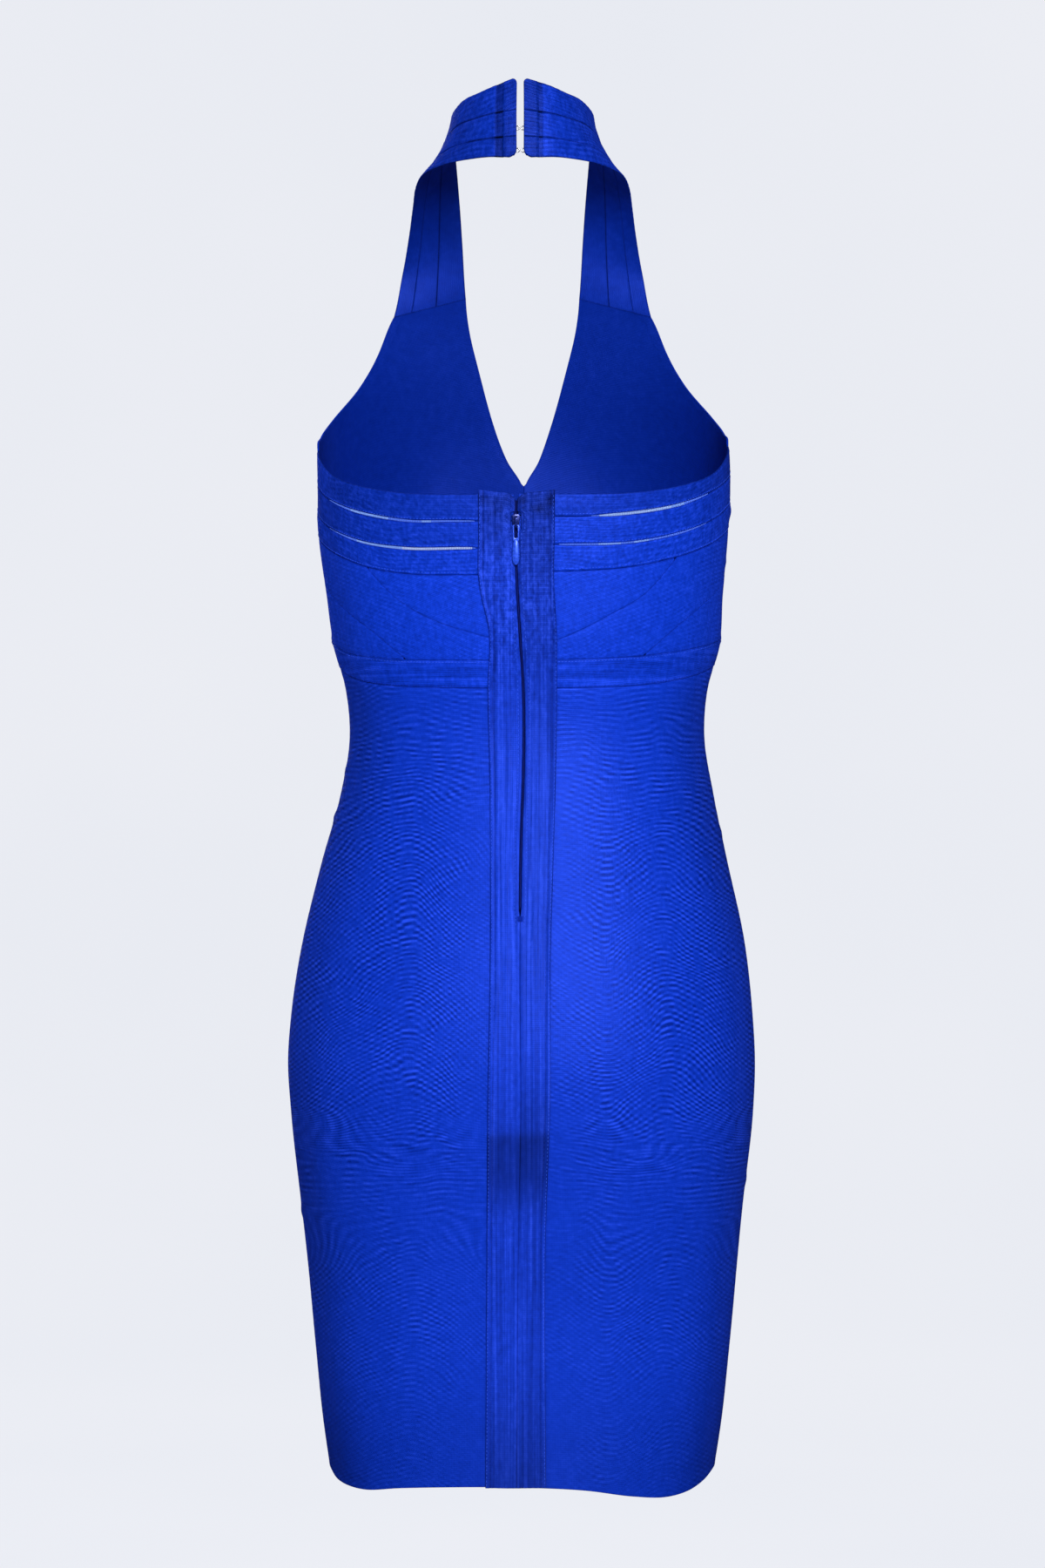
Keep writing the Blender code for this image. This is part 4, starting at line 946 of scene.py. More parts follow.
    # ---- back skirt
    name = f"skirt_back_{tag}"
    t, z, q, v = grid(spread(0, 90, 0.185, 2.3 * MM), stations(0.55, 2.6 * MM), place, at(BAND_FOOT),
                      lambda q, side=side: HEM_Z(side * q), foot_gap=0.0)
    P, N = point(t, z), normal(t, z)
    d = lengths(P)
    x = P[..., 0]
    edge_x = np.abs(x - EDGE_X[side](z))                      # distance from the placket's edge
    relief = sewn(d["top"], 0.25 * MM) + sewn(d["right"], 0.22 * MM)
    relief = relief + pucker(edge_x, -z, 7.5 * MM, 0.16 * MM, 8 * MM, seed + 70)
    relief = relief + pucker(d["top"], d["left"], 6.5 * MM, 0.10 * MM, 7 * MM, seed + 73)
    relief = relief + pucker(d["right"], -z, 8 * MM, 0.12 * MM, 7 * MM, seed + 75)
    relief = relief + 0.22 * MM * noise(x / 0.05, z / 0.07, seed + 77)
    relief = relief + 0.14 * MM * bell(d["foot"] - 1.8 * MM, 1.3 * MM)
    # the fold lines at the fullest part of the seat and small ones at the side seam
    for at_z, size, near, far in ((-0.7213, 0.24, 0.018, 0.125), (-0.7020, 0.12, 0.030, 0.080), (-0.7440, 0.10, 0.040, 0.110)):
        line = z - at_z - 0.0015 * noise(x / 0.02, 2.5, seed + 80)
        relief = relief - size * MM * bell(line, 2.2 * MM) * step(near, near + 0.02, np.abs(x)) * (1 - step(far, far + 0.02, np.abs(x)))
    for at_z, size in ((-0.4880, 0.9), (-0.7640, 0.8), (-0.4560, 0.5)) if side > 0 else ((-0.4990, 0.6), (-0.7420, 0.7)):
        line = z - at_z - 0.25 * (d["right"] - 0.01)
        relief = relief + size * MM * bell(line, 3.5 * MM) * np.exp(-(d["right"] / 0.022)**2) * step(0, 0.004, d["right"])
    # painted shade along the placket's edge, the top seam and the side seams, towards the hem and at the waist's sides;
    # painted light lifts the top of the skirt
    shade = 1 - 0.10 * np.exp(-(edge_x / (1.2 * MM))**2) - 0.30 * bell(d["top"], 0.6 * MM)
    shade = shade - 0.05 * np.exp(-(d["right"] / 0.022)**2) - 0.20 * (1 - step(-0.945, -0.850, z))
    shade = shade - 0.16 * np.exp(-(d["right"] / 0.032)**2) * bell(z + 0.500, 0.055)
    shade = shade - SIDE_SHADE * (1 - step(0.035, 0.085, d["right"])) * (1 - step(-0.400, -0.380, z))
    shade = shade + (0.12 if side > 0 else 0.16) * step(-0.412, -0.388, z) + 0.04 * step(-0.450, -0.405, z)
    marks = watermark(x, z)
    made[name] = shell(name, KNIT, P, N, relief, "bandage_knit", d=d, swirl=marks[0], cross=marks[1], shade=shade,
                       marks=watermark_amount(P[..., 0], z))
    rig.replaces(made[name], name)


# ---- front band and skirt, side seam to side seam
def front_place(q, z):
    return q


name = "band_front"
t, z, q, v = grid(spread(89.94, 270.06, 0.33, 2.4 * MM), stations(0.019, 1.3 * MM), front_place,
                  front_seam(BAND_TOP), front_seam(BAND_FOOT))
P, N = point(t, z), normal(t, z)
d = lengths(P)
high = np.minimum(d["top"], d["foot"])
relief = 0.30 * MM * step(0, 5 * MM, high) - 0.12 * MM + 0.16 * MM * bell(high - 1.6 * MM, 0.9 * MM)
relief = relief + 0.16 * MM * noise(d["left"] / 0.02, d["top"] / 0.010, 150)
relief = relief + pucker(high, d["left"], 5.5 * MM, 0.12 * MM, 5 * MM, 151)
relief = relief + side_bulge(1, z, d["left"]) + side_bulge(-1, z, d["right"])
# painted shade along the band's seams
made[name] = shell(name, BAND, P, N, relief, "bandage_knit", d=d, swirl=2.2 * watermark_strip(d["left"] * 0.4, d["top"], 152),
                   shade=1 - 0.36 * np.exp(-(high / (0.75 * MM))**2))
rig.replaces(made[name], name)

name = "skirt_front"
t, z, q, v = grid(spread(89.94, 270.06, 0.37, 3.2 * MM), stations(0.55, 3.3 * MM), front_place,
                  front_seam(BAND_FOOT), lambda q: HEM_Z(np.where(q <= 180, q, q - 360)), foot_gap=0.0)
P, N = point(t, z), normal(t, z)
d = lengths(P)
x = P[..., 0]
relief = sewn(d["top"], 0.25 * MM) + sewn(np.minimum(d["right"], d["left"]), 0.22 * MM)
relief = relief + pucker(d["top"], d["left"], 6.5 * MM, 0.10 * MM, 7 * MM, 173)
relief = relief + pucker(np.minimum(d["right"], d["left"]), -z, 8 * MM, 0.12 * MM, 7 * MM, 175)
relief = relief + 0.25 * MM * noise(x / 0.05, z / 0.07, 177)
relief = relief + 0.14 * MM * bell(d["foot"] - 1.8 * MM, 1.3 * MM)
marks = watermark(x, z)
# painted shade along the top seam and beside the side seams
made[name] = shell(name, KNIT, P, N, relief, "bandage_knit", d=d, swirl=marks[0], cross=marks[1],
                   shade=1 - 0.30 * bell(d["top"], 0.6 * MM)
                   - SIDE_SHADE * (1 - step(0.035, 0.085, np.minimum(d["right"], d["left"]))) * (1 - step(-0.400, -0.380, z)),
                   marks=0.6 * watermark_amount(P[..., 0], z))
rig.replaces(made[name], name)


# ------------------------------------------------------------------ front bodice
def cup_edge(side, v):
    v = np.asarray(v, float)
    row = CUP_ROWS(v)
    it, iz, ot, oz = (row[..., k] for k in range(4))
    foot = np.clip((v - 5) / (len(CUP) - 6), 0, 1)
    oz = oz + foot * (seam(side, BAND_TOP, 90) - CUP[-1][3])
    oz = oz + (1 - foot) * (seam(side, TOP, 90) - CUP[5][3]) * np.minimum(v / 5, 1)
    iz = iz + foot * (seam(side, BAND_TOP, 180) - CUP[-1][1])
    it = np.where(v >= 4.9, 180.0, np.minimum(it, 180))
    ot = np.where(v >= 5, 90.0, np.maximum(ot, 90))
    return it, iz, ot, oz


def cup_at(side, share, v):
    share, v = np.broadcast_arrays(np.asarray(share, float), np.asarray(v, float))
    it, iz, ot, oz = cup_edge(side, v)
    t, z = it + share * (ot - it), iz + share * (oz - iz)
    foot = np.where(v > 5, ((v - 5) / (len(CUP) - 6))**2, 0)
    band = front_seam(BAND_TOP)(t if side > 0 else 360 - t) - SEWN
    return t, z + foot * (band - z)


for side, tag in ((1, "L"), (-1, "R")):
    name = f"front_cup_{tag}"
    # rows are closer near the strap's end and the band
    rows = 0.0005 + (9 - 0.0005) * stations(0.27, 2.2 * MM)
    share, v = np.meshgrid(stations(0.17, 2.2 * MM), rows)
    low = -SEWN / 0.14 * step(4.8, 5.2, v)
    t, z = cup_at(side, low + share * (1 - 2 * low), v)
    P, N = point(side * t, z), normal(side * t, z)
    d = lengths(P)
    seed = 200 if side > 0 else 230
    free_in = 1 - step(4.6, 5.2, v)          # the neckline, above the centre seam
    free_out = 1 - step(4.6, 5.2, v)         # the armhole edge, above the side seam
    relief = 0.30 * MM * (free_in * bell(d["left"] - 1.8 * MM, 1.2 * MM) + free_out * bell(d["right"] - 1.8 * MM, 1.2 * MM))
    relief = relief - 0.16 * MM * (free_in * bell(d["left"] - 6.5 * MM, 0.8 * MM) + free_out * bell(d["right"] - 6.5 * MM, 0.8 * MM))
    relief = relief + (1 - free_in) * (sewn(d["left"], 0.25 * MM) + pucker(d["left"], -z, 6 * MM, 0.16 * MM, 9 * MM, seed))
    relief = relief + (1 - free_out) * (sewn(d["right"], 0.22 * MM) + pucker(d["right"], -z, 7 * MM, 0.12 * MM, 7 * MM, seed + 2))
    relief = relief + sewn(d["foot"]) + pucker(d["foot"], d["left"], 7 * MM, 0.22 * MM, 12 * MM, seed + 4)
    relief = relief + side_bulge(side, z, d["right"])
    # soft pulls from the fullest part to the side seam
    x = side * P[..., 0]
    for zc, lean, size in ((-0.300, 0.35, 0.35), (-0.322, 0.55, 0.28), (-0.262, 0.15, 0.22)):
        line = z - (zc + lean * (x - 0.115))
        relief = relief + size * MM * bell(line, 6 * MM) * step(0.070, 0.115, x) * step(0.146, 0.130, x)
    relief = relief + 0.2 * MM * noise(P[..., 0] / 0.04, z / 0.04, seed + 6)
    marks = watermark(P[..., 0], z - 0.30)
    relief = relief + sewn(d["top"], 0.25 * MM)
    # painted shade along the top and foot seams
    made[name] = shell(name, KNIT, P, N, relief, "bandage_knit", d=d, swirl=marks[0], cross=marks[1], marks=0.7,
                       shade=1 - 0.30 * bell(np.minimum(d["top"], d["foot"]), 0.6 * MM),
                       rolled=("left", "right", "foot"))
    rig.replaces(made[name], name)


# ------------------------------------------------------------------ halter
BULGE = curve(range(len(HALTER) + 2), [r[6] for r in HALTER] + [0, 0])


def corner_in(shares):
    """How far the rounded corners of a collar half's end stand back."""
    foot = np.clip(1 - (1 - shares) * 0.056 / CORNER, 0, 1)
    head = np.clip(1 - shares * 0.056 / TOP_CORNER, 0, 1)
    return CORNER * (1 - np.sqrt(1 - foot**2)) + TOP_CORNER * (1 - np.sqrt(1 - head**2))


def halter_net(side, shares):
    """Curves along the strap for each share across it."""
    shares = np.asarray(shares, float)
    table = np.array(HALTER)
    up, low = table[:, None, :3], table[:, None, 3:6]
    pts = up + (low - up) * shares[None, :, None]
    pts[0, :, 0] = HALTER_START[side] + corner_in(shares)
    for v in (0, 1):
        t, z = cup_at(1, shares, v)
        pts = np.concatenate([pts, point(t, z)[None]])
    pts[..., 0] *= side
    flat = pts.reshape(len(pts), -1)
    value = curve(range(len(pts)), flat)
    return lambda u: value(u).reshape(np.shape(u) + (len(shares), 3))


def halter_grid(side, shares, us):
    """Face and outward normal of the strap over a grid."""
    e = 0.02
    shares, us = np.asarray(shares, float), np.asarray(us, float)
    face = halter_net(side, shares)
    lo, hi = np.maximum(shares - e, 0), np.minimum(shares + e, 1)
    across = halter_net(side, hi)(us) - halter_net(side, lo)(us)
    along = face(us + e) - face(np.maximum(us - e, 0))
    N = unit(np.cross(along, across)) * side
    bulge = BULGE(us)[:, None] * MM * 4 * shares * (1 - shares)
    return face(us) + bulge[..., None] * N, N


for side, tag in ((1, "L"), (-1, "R")):
    seed = 300 if side > 0 else 340
    for k in range(3):
        name = f"halter_{tag}_{k + 1}"
        trim = -SEWN / 0.055
        lo = HALTER_SEAMS[k] + (trim if k else 0)
        hi = HALTER_SEAMS[k + 1] - (trim if k < 2 else 0)
        us = np.concatenate([1.25 * stations(0.0195, 0.8 * MM, True, False),
                             1.25 + (9.9995 - 1.25) * stations(0.225, 1.8 * MM, False, True)[1:]])
        shares = lo + (hi - lo) * stations(0.056 * (hi - lo), 1.0 * MM)
        P, N = halter_grid(side, shares, us)
        d = lengths(P)
        high = np.minimum(d["left"], d["right"])
        along = d["top"] + corner_in(shares)[None, :]           # distance from the nape end
        relief = 0.32 * MM * step(0, 5 * MM, high) - 0.10 * MM + 0.20 * MM * bell(high - 1.5 * MM, 0.9 * MM)
        relief = relief + 0.20 * MM * noise(along / 0.018, d["left"] / 0.008 + 5 * k, seed + k)
        relief = relief + pucker(high, along, 6 * MM, 0.13 * MM, 4 * MM, seed + 4 + k)
        # the turned-in end: a flat doubled tab with a stitched-down channel behind it
        tab_end, channel_end = (9.0, 15.2) if side > 0 else (9.6, 13.4)
        tab = 1 - step((tab_end - 0.5) * MM, (tab_end + 0.5) * MM, along)
        relief = relief * (1 - 0.75 * tab) + 0.55 * MM * tab
        channel = step((tab_end - 0.2) * MM, (tab_end + 0.5) * MM, along) * (
            1 - step((channel_end - 0.9) * MM, (channel_end + 0.5) * MM, along))
        relief = relief - 0.40 * MM * channel
        # the painted shade in the seams between the strips shows less on the doubled tab
        seam_dark = (0.10 + 0.34 * (1 - tab)) * np.exp(-(high / (0.75 * MM))**2)
        if k:
            reach = 0.030 if side > 0 else 0.020
            seam_dark = seam_dark * (1 - 0.62 * step(reach, reach + 0.014, along) * (d["left"] > d["right"] if k == 1 else 1))
        # the stitched-down channel is darkened as painted shade of its recess
        shade = (0.84 if side > 0 else 0.90) - (0.46 if side > 0 else 0.44) * channel - seam_dark
        shade = shade - (0.27 if side > 0 else 0.42) * tab - (0.08 if side > 0 and k == 2 else 0.0)
        shade = shade + 0.12 * step(0.060, 0.110, along)
        made[name] = shell(name, STRIP, P, N, relief, "bandage_knit", d=d, shade=shade,
                           uv=np.stack([along, d["left"]], -1), rolled=("left", "right", "top"),
                           swirl=watermark_strip(along, d["left"], seed + 9 + k))
        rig.replaces(made[name], name)

    name = f"collar_end_{tag}"
    us = 0.02 + 1.05 * stations(0.0148, 1.0 * MM)
    shares = 0.03 + 0.94 * stations(0.052, 1.2 * MM)
    P, N = halter_grid(side, shares, us)
    d = lengths(P)
    made[name] = shell(name, STRIP, P - (CLOTH + LAY) * N, N, 0.12 * MM * noise(d["top"] / 0.006, d["left"] / 0.01, seed + 20),
                       "bandage_knit", d=d, thick=1.0 * MM, uv=np.stack([d["left"], d["top"]], -1))
    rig.replaces(made[name], name)


# ------------------------------------------------------------------ placket
def groove_half(z):
    """Half the groove over the zip: a pocket at the slider, closed below the zip."""
    half = GROOVE_HALF + (-0.07 * MM - GROOVE_HALF) * np.clip((ZIP_END + 0.004 - z) / 0.007, 0, 1)
    pocket = step(POCKET[0] - POCKET_EDGE, POCKET[0], z) * (1 - step(POCKET[1], POCKET[1] + POCKET_EDGE, z))
    return half + (POCKET_HALF - GROOVE_HALF) * pocket


PLACKET_TOP_Z = curve([r[0] for r in PLACKET_TOP], [r[1] for r in PLACKET_TOP])
# lengthwise ridges of a placket strip: share across from the zip line, height, width (mm)
RIDGES = ((0.09, 0.34, 1.0), (0.26, 0.26, 1.3), (0.43, 0.34, 1.5), (0.60, 0.24, 1.2), (0.76, 0.30, 1.3), (0.93, 0.38, 1.0))


def placket_face(side, share, z):
    x0 = ZIP_X(z) + side * groove_half(z)
    x = x0 + share * (EDGE_X[side](z) - x0)
    return turn_at(x, z), x


for side, tag in ((1, "L"), (-1, "R")):
    name = f"placket_{tag}"
    seed = 400 if side > 0 else 430
    rows = np.unique(np.concatenate([stations(0.678, 2.4 * MM), np.linspace(0.0085, 0.0380, int(48 / FINE))]))
    share, v = np.meshgrid(stations(0.0235, 0.55 * MM), rows)
    top = PLACKET_TOP_Z(share)
    # the very foot is a little uneven
    base = HEM_Z(0) - 0.4 * MM * (0.5 + 0.5 * noise(share * 4 + 3, 0.5, seed))
    z = top + v * (base - top)
    t, x = placket_face(side, share, z)
    P, N = point(t, z), normal(t, z)
    d = lengths(P)
    outer = d["right"]
    inner_edge = d["left"]
    relief = np.zeros(P.shape[:2])
    for k, (at_share, high, wide) in enumerate(RIDGES):
        wander = 0.03 * noise(z / 0.05, k * 3.0, seed + 2)
        size = 0.60 + 0.55 * noise(z / 0.035, k * 5.0, seed + 3)
        relief = relief + high * MM * size * bell((share - at_share - wander) * 23.5, wide)
    # the top stitching pulls a line in, 3.3 mm from the outer edge
    relief = relief - 0.30 * MM * bell(outer - 3.3 * MM, 0.7 * MM)
    relief = relief + pucker(outer, -z, 5.5 * MM, 0.16 * MM, 6 * MM, seed + 6)
    relief = relief + pucker(inner_edge, -z, 6.5 * MM, 0.14 * MM, 5 * MM, seed + 8) * step(ZIP_END - 0.04, ZIP_END, z)
    # creases where it bends at the waist and at the top
    relief = relief + 0.25 * MM * noise(share * 2.2, z / 0.012, seed + 10) * (step(-0.36, -0.33, z) + 0.5 * bell(z + 0.42, 0.05))
    relief = relief * 0.9
    # painted shade on a stretch below the fullest part, where the ribs turn from the light
    dark = step(-0.768, -0.728, z) * (1 - 0.85 * step(-0.7065, -0.6975, z) - 0.15 * step(-0.7000, -0.6680, z))
    shade = 1 - 0.50 * dark * (0.9 + 0.15 * noise(share * 5, z / 0.02, seed + 14)) - 0.06 * step(-0.385, -0.375, z)
    # dark blotches where the top is turned in and doubled, partly painted shade; dark needle lines by the edge
    blotch = step(-0.10, 0.6, noise(share * 2.0 + 1, z / 0.007, seed + 16)) * step(-0.302, -0.286, z)
    shade = shade - (0.05 if side > 0 else 0.20) * step(-0.345, -0.300, z) - (0.20 if side > 0 else 0.0) * step(-0.316, -0.298, z)
    shade = shade - (0.10 if side > 0 else 0.20) * step(-0.291, -0.280, z) * (0.85 + 0.4 * noise(share * 3, z / 0.005, seed + 18))
    # painted shade at the foot, where it turns in toward the legs, and a darker stretch of one strip
    shade = shade - 0.46 * (1 - step(-0.950, -0.845, z)) - (0.0 if side > 0 else 0.18) * bell(z + 0.690, 0.022)
    shade = shade + (0.03 if side > 0 else -0.13) * step(-0.66, -0.56, z) + (0.06 if side > 0 else 0.0) * (1 - step(-0.66, -0.62, z)) * (1 - dark)
    # the blotches, a needle line at the top stitching, and painted shade along both edges
    shade = shade - 0.18 * blotch - 0.24 * bell(outer - 3.3 * MM, 0.5 * MM) - 0.22 * np.exp(-(outer / (0.6 * MM))**2)
    shade = shade - 0.20 * np.exp(-(inner_edge / (0.6 * MM))**2)
    made[name] = shell(name, RIBBED, P + (LAY + CLOTH) * N, N, relief, "placket_knit", d=d, shade=shade,
                       inner=np.zeros(P.shape[:2]), uv=np.stack([d["left"], d["top"]], -1),
                       swirl=watermark_strip(d["top"] * 0.2, d["top"], seed + 12),
                       marks=0.28 + 0.72 * step(-0.430, -0.345, z) - 0.18 * dark)
    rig.replaces(made[name], name)


# ------------------------------------------------------------------ stitches
def tube_rows(paths, radius, sides=6, flat=1.0):
    """Joined closed tubes along short point lists, with rounded ends."""
    verts, faces = [], []
    for path, out in paths:
        path = [np.array(p, float) for p in path]
        base = len(verts)
        n = len(path)
        for i, p in enumerate(path):
            run = unit(path[min(i + 1, n - 1)] - path[max(i - 1, 0)])
            a = unit(np.cross(run, out))
            b = np.cross(a, run)
            k = 0.45 if i in (0, n - 1) else 1.0
            for s in range(sides):
                w = 2 * pi * s / sides
                verts.append(p + radius * k * (cos(w) * a + flat * sin(w) * b))
        for i in range(n - 1):
            for s in range(sides):
                q, r = base + i * sides + s, base + i * sides + (s + 1) % sides
                faces.append((q, r, r + sides, q + sides))
        faces.append(tuple(base + s for s in range(sides - 1, -1, -1)))
        faces.append(tuple(base + (n - 1) * sides + s for s in range(sides)))
    return verts, faces


def stitch_row(name, line, step_m, length, radius, lift, skew=0.0, mat=None, slot="placket_knit"):
    """Stitches along a line(s) -> (point, out normal); s in metres."""
    paths = []
    total = line(None)
    s = 0.5 * step_m
    k = 0
    while s + length < total:
        pts = []
        out = None
        for f, h in ((0.0, -0.25), (0.28, 0.9), (0.72, 0.9), (1.0, -0.25)):
            p, nrm = line(s + f * length)
            pts.append(p + nrm * (lift + (h - 1) * radius * 1.2) + np.array([skew * (f - 0.5), 0, 0]))
            out = nrm
        paths.append((pts, out))
        s += step_m * (1 + 0.06 * sin(1.7 * k))
        k += 1
    verts, faces = tube_rows(paths, radius, 5)
    ob = mesh_object(name, [tuple(v) for v in verts], faces, mat or THREAD)
    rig.ride(ob, "dress")
    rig.slot(ob, slot)
    return ob


def line_through(pts, nrm):
    """line(s) -> (point, out normal) along a list of points; line(None) is its length."""
    s = np.concatenate([[0], np.cumsum(np.linalg.norm(np.diff(pts, axis=0), axis=1))])

    def line(at):
        if at is None:
            return s[-1]
        return (np.array([np.interp(at, s, pts[:, k]) for k in range(3)]),
                unit(np.array([np.interp(at, s, nrm[:, k]) for k in range(3)])))
    return line


def placket_line(side, inset, from_edge, relief, foot=None):
    """A line down a placket strip, inset metres from its outer or inner edge."""
    zs = np.linspace(-0.2690 if from_edge else -0.2722, HEM_Z(0) + 0.001 if foot is None else foot, 500)
    x0 = ZIP_X(zs) + side * groove_half(zs)
    x = EDGE_X[side](zs) - side * inset if from_edge else x0 + side * inset
    t = turn_at(x, zs)
    return line_through(point(t, zs) + (LAY + CLOTH + relief) * normal(t, zs), normal(t, zs))


def seam_line(side, which, above, out, lo=9.5, hi=89.5):
    """A line along one of the back's seams, above metres over it."""
    q = np.linspace(lo, hi, 160)
    z = seam(side, which, q) + (above(q) if callable(above) else above)
    t = back_turn(side, q, z)
    return line_through(point(t, z) + out * normal(t, z), normal(t, z))


for side, tag in ((1, "L"), (-1, "R")):
    stitch_row(f"placket_stitch_outer_{tag}", placket_line(side, 3.3 * MM, True, -0.22 * MM), 3.0 * MM, 2.1 * MM,
               0.16 * MM, 0.10 * MM)
    stitch_row(f"placket_stitch_edge_{tag}", placket_line(side, 0.9 * MM, True, 0.10 * MM), 2.6 * MM, 1.5 * MM,
               0.18 * MM, 0.08 * MM, mat=PALE_THREAD)
    stitch_row(f"placket_stitch_zip_{tag}", placket_line(side, 2.9 * MM, False, 0.05 * MM, ZIP_END - 0.008), 2.8 * MM,
               1.9 * MM, 0.15 * MM, 0.10 * MM, mat=PALE_THREAD)
    # the edges of the top strips and the band are caught down with small stitches
    for k, which in enumerate((SLIT_1, SLIT_2, FOOT_3)):
        stitch_row(f"strip_stitch_{tag}_{k + 1}", seam_line(side, which, 1.75 * MM, 0.12 * MM), 2.3 * MM, 1.4 * MM,
                   0.19 * MM, 0.10 * MM, mat=PALE_THREAD, slot="bandage_knit")
    stitch_row(f"band_stitch_top_{tag}", seam_line(side, BAND_TOP, -1.3 * MM, 0.08 * MM), 2.3 * MM, 1.4 * MM,
               0.17 * MM, 0.08 * MM, mat=PALE_THREAD, slot="bandage_knit")
    stitch_row(f"band_stitch_foot_{tag}", seam_line(side, BAND_FOOT, 1.3 * MM, 0.08 * MM), 2.3 * MM, 1.4 * MM,
               0.17 * MM, 0.08 * MM, slot="bandage_knit")
    # ladders of thread hold the two open slits
    for k, which in enumerate((SLIT_1, SLIT_2)):
        half = slit_half(side, k + 1)
        first, last = SLIT_OPEN[side, k + 1][1][0] + 0.4, SLIT_OPEN[side, k + 1][-2][0] - 2.0
        top_edge = seam_line(side, which, lambda q: half(q) + 0.35 * MM, -0.55 * MM, first, last)
        low_edge = seam_line(side, which, lambda q: -half(q) - 0.35 * MM, -0.55 * MM, first, last)
        total, at, count, paths = top_edge(None), 0.6 * MM, 0, {tone: [] for tone in LADDER_THREADS}
        while at < total:
            (a, out), (b, _) = top_edge(at), low_edge(min(at, low_edge(None)))
            tone = next((t for lo, hi, t in LADDER_TONE[side, k + 1] if lo * MM <= abs(a[0]) < hi * MM), "blue")
            paths[tone].append(([a, a + 0.3 * (b - a) + 0.06 * MM * out, a + 0.7 * (b - a) + 0.06 * MM * out, b], out))
            count += 1
            at += 0.60 * MM * (1 + 0.18 * sin(2.3 * count))
        for tone, rungs in paths.items():
            if rungs:
                verts, faces = tube_rows(rungs, 0.26 * MM, 5)
                ladder = mesh_object(f"slit_ladder_{tag}_{k + 1}_{tone}", [tuple(v) for v in verts], faces,
                                     LADDER_THREADS[tone])
                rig.ride(ladder, "dress")
                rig.slot(ladder, "bandage_knit")


# ------------------------------------------------------------------ zip
def zip_point(dx, out, z):
    return skin(turn_at(ZIP_X(z) + dx, z), z, out)


deep, half_tape = -CLOTH - LAY, 9 * MM
rows = stations(0.2775, 2.2 * MM)
zs = -0.2740 + rows * (ZIP_END + 4.5 * MM + 0.2740)
dx, zz = np.meshgrid(np.concatenate([np.linspace(-half_tape, half_tape, 21)]), zs)
t = turn_at(ZIP_X(zz) + dx, zz)
P, N = point(t, zz), normal(t, zz)
d = lengths(P)
relief = deep + 0.15 * MM * bell(np.abs(dx) - 3.2 * MM, 0.6 * MM)
tape = shell("zip_tape_cloth", TAPE, P, N, relief, "zip_cloth", d=d, thick=0.8 * MM, inner=np.full(P.shape[:2], deep))
made["zip_tape"] = tape
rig.replaces(tape, "zip_tape")

# the coil: two interlocking rows of bent loops over the tape
paths = []
pitch, loop = 1.25 * MM, 1.05 * MM
z, k = SLIDER_Z - PLATE_H / 2 + 0.6 * MM, 0
while z > ZIP_END + 5.5 * MM:
    for s in (1, -1):
        zc = z + (0 if s > 0 else pitch / 2)
        pts = []
        for f in np.linspace(0, 1, 7):
            w = radians(200 * f - 100)
            x = s * (-0.35 * MM + loop * (1 - cos(w) * 0.9))
            h = -0.62 * MM + 0.72 * MM * cos(radians(180 * (f - 0.5)))
            pts.append(zip_point(x * 0.9, h + 0.05 * MM, zc + (f - 0.5) * 0.55 * MM))
        paths.append((pts, np.array([0, 1, 0.0])))
    z -= pitch
verts, faces = tube_rows(paths, 0.26 * MM, 6)
coil = mesh_object("zip_coil", [tuple(v) for v in verts], faces, COIL)
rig.ride(coil, "dress")
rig.slot(coil, "zip_cloth")

# the bar tack that ends the zip
paths = []
for k in range(9):
    z = ZIP_END - 1.0 * MM - k * 0.42 * MM
    pts = [zip_point(f * 2.6 * MM, LAY + CLOTH + 0.10 * MM + 0.16 * MM * (1 - (f * 1.0)**2), z + 0.1 * MM * f) for f in
           (-1, -0.5, 0, 0.5, 1)]
    paths.append((pts, np.array([0, 1, 0.0])))
verts, faces = tube_rows(paths, 0.2 * MM, 6)
tack = mesh_object("zip_bar_tack", [tuple(v) for v in verts], faces, THREAD)
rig.ride(tack, "dress")
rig.slot(tack, "placket_knit")


def arc(cx, cz, r, a0, a1, n):
    return [(cx + r * cos(radians(a0 + (a1 - a0) * i / n)), cz + r * sin(radians(a0 + (a1 - a0) * i / n)))
            for i in range(n + 1)]


def prism(name, outline, y0, y1, mat, bevel, axis="y", segments=3, holes=()):
    """An outline extruded along Y (or X), bevelled all round."""
    bm = bmesh.new()
    ring = [bm.verts.new((x, y0, z) if axis == "y" else (y0, x, z)) for x, z in outline]
    face = bm.faces.new(ring)
    res = bmesh.ops.extrude_face_region(bm, geom=[face])
    move = (0, y1 - y0, 0) if axis == "y" else (y1 - y0, 0, 0)
    bmesh.ops.translate(bm, verts=[g for g in res["geom"] if isinstance(g, bmesh.types.BMVert)], vec=move)
    bmesh.ops.recalc_face_normals(bm, faces=bm.faces)
    mesh = bpy.data.meshes.new(name)
    bm.to_mesh(mesh)
    bm.free()
    mesh.materials.append(mat)
    ob = bpy.data.objects.new(name, mesh)
    bpy.context.scene.collection.objects.link(ob)
    if bevel:
        mod = ob.modifiers.new("bevel", "BEVEL")
        mod.width, mod.segments, mod.limit_method, mod.angle_limit = bevel, segments, "ANGLE", radians(35)
    return ob


def settle(ob):
    """Applies the piece's modifiers and shades it smooth."""
    dg = bpy.context.evaluated_depsgraph_get()
    mesh = bpy.data.meshes.new_from_object(ob.evaluated_get(dg))
    ob.modifiers.clear()
    ob.data = mesh
    mesh.shade_smooth()
    mesh.set_sharp_from_angle(angle=radians(50))
    return ob


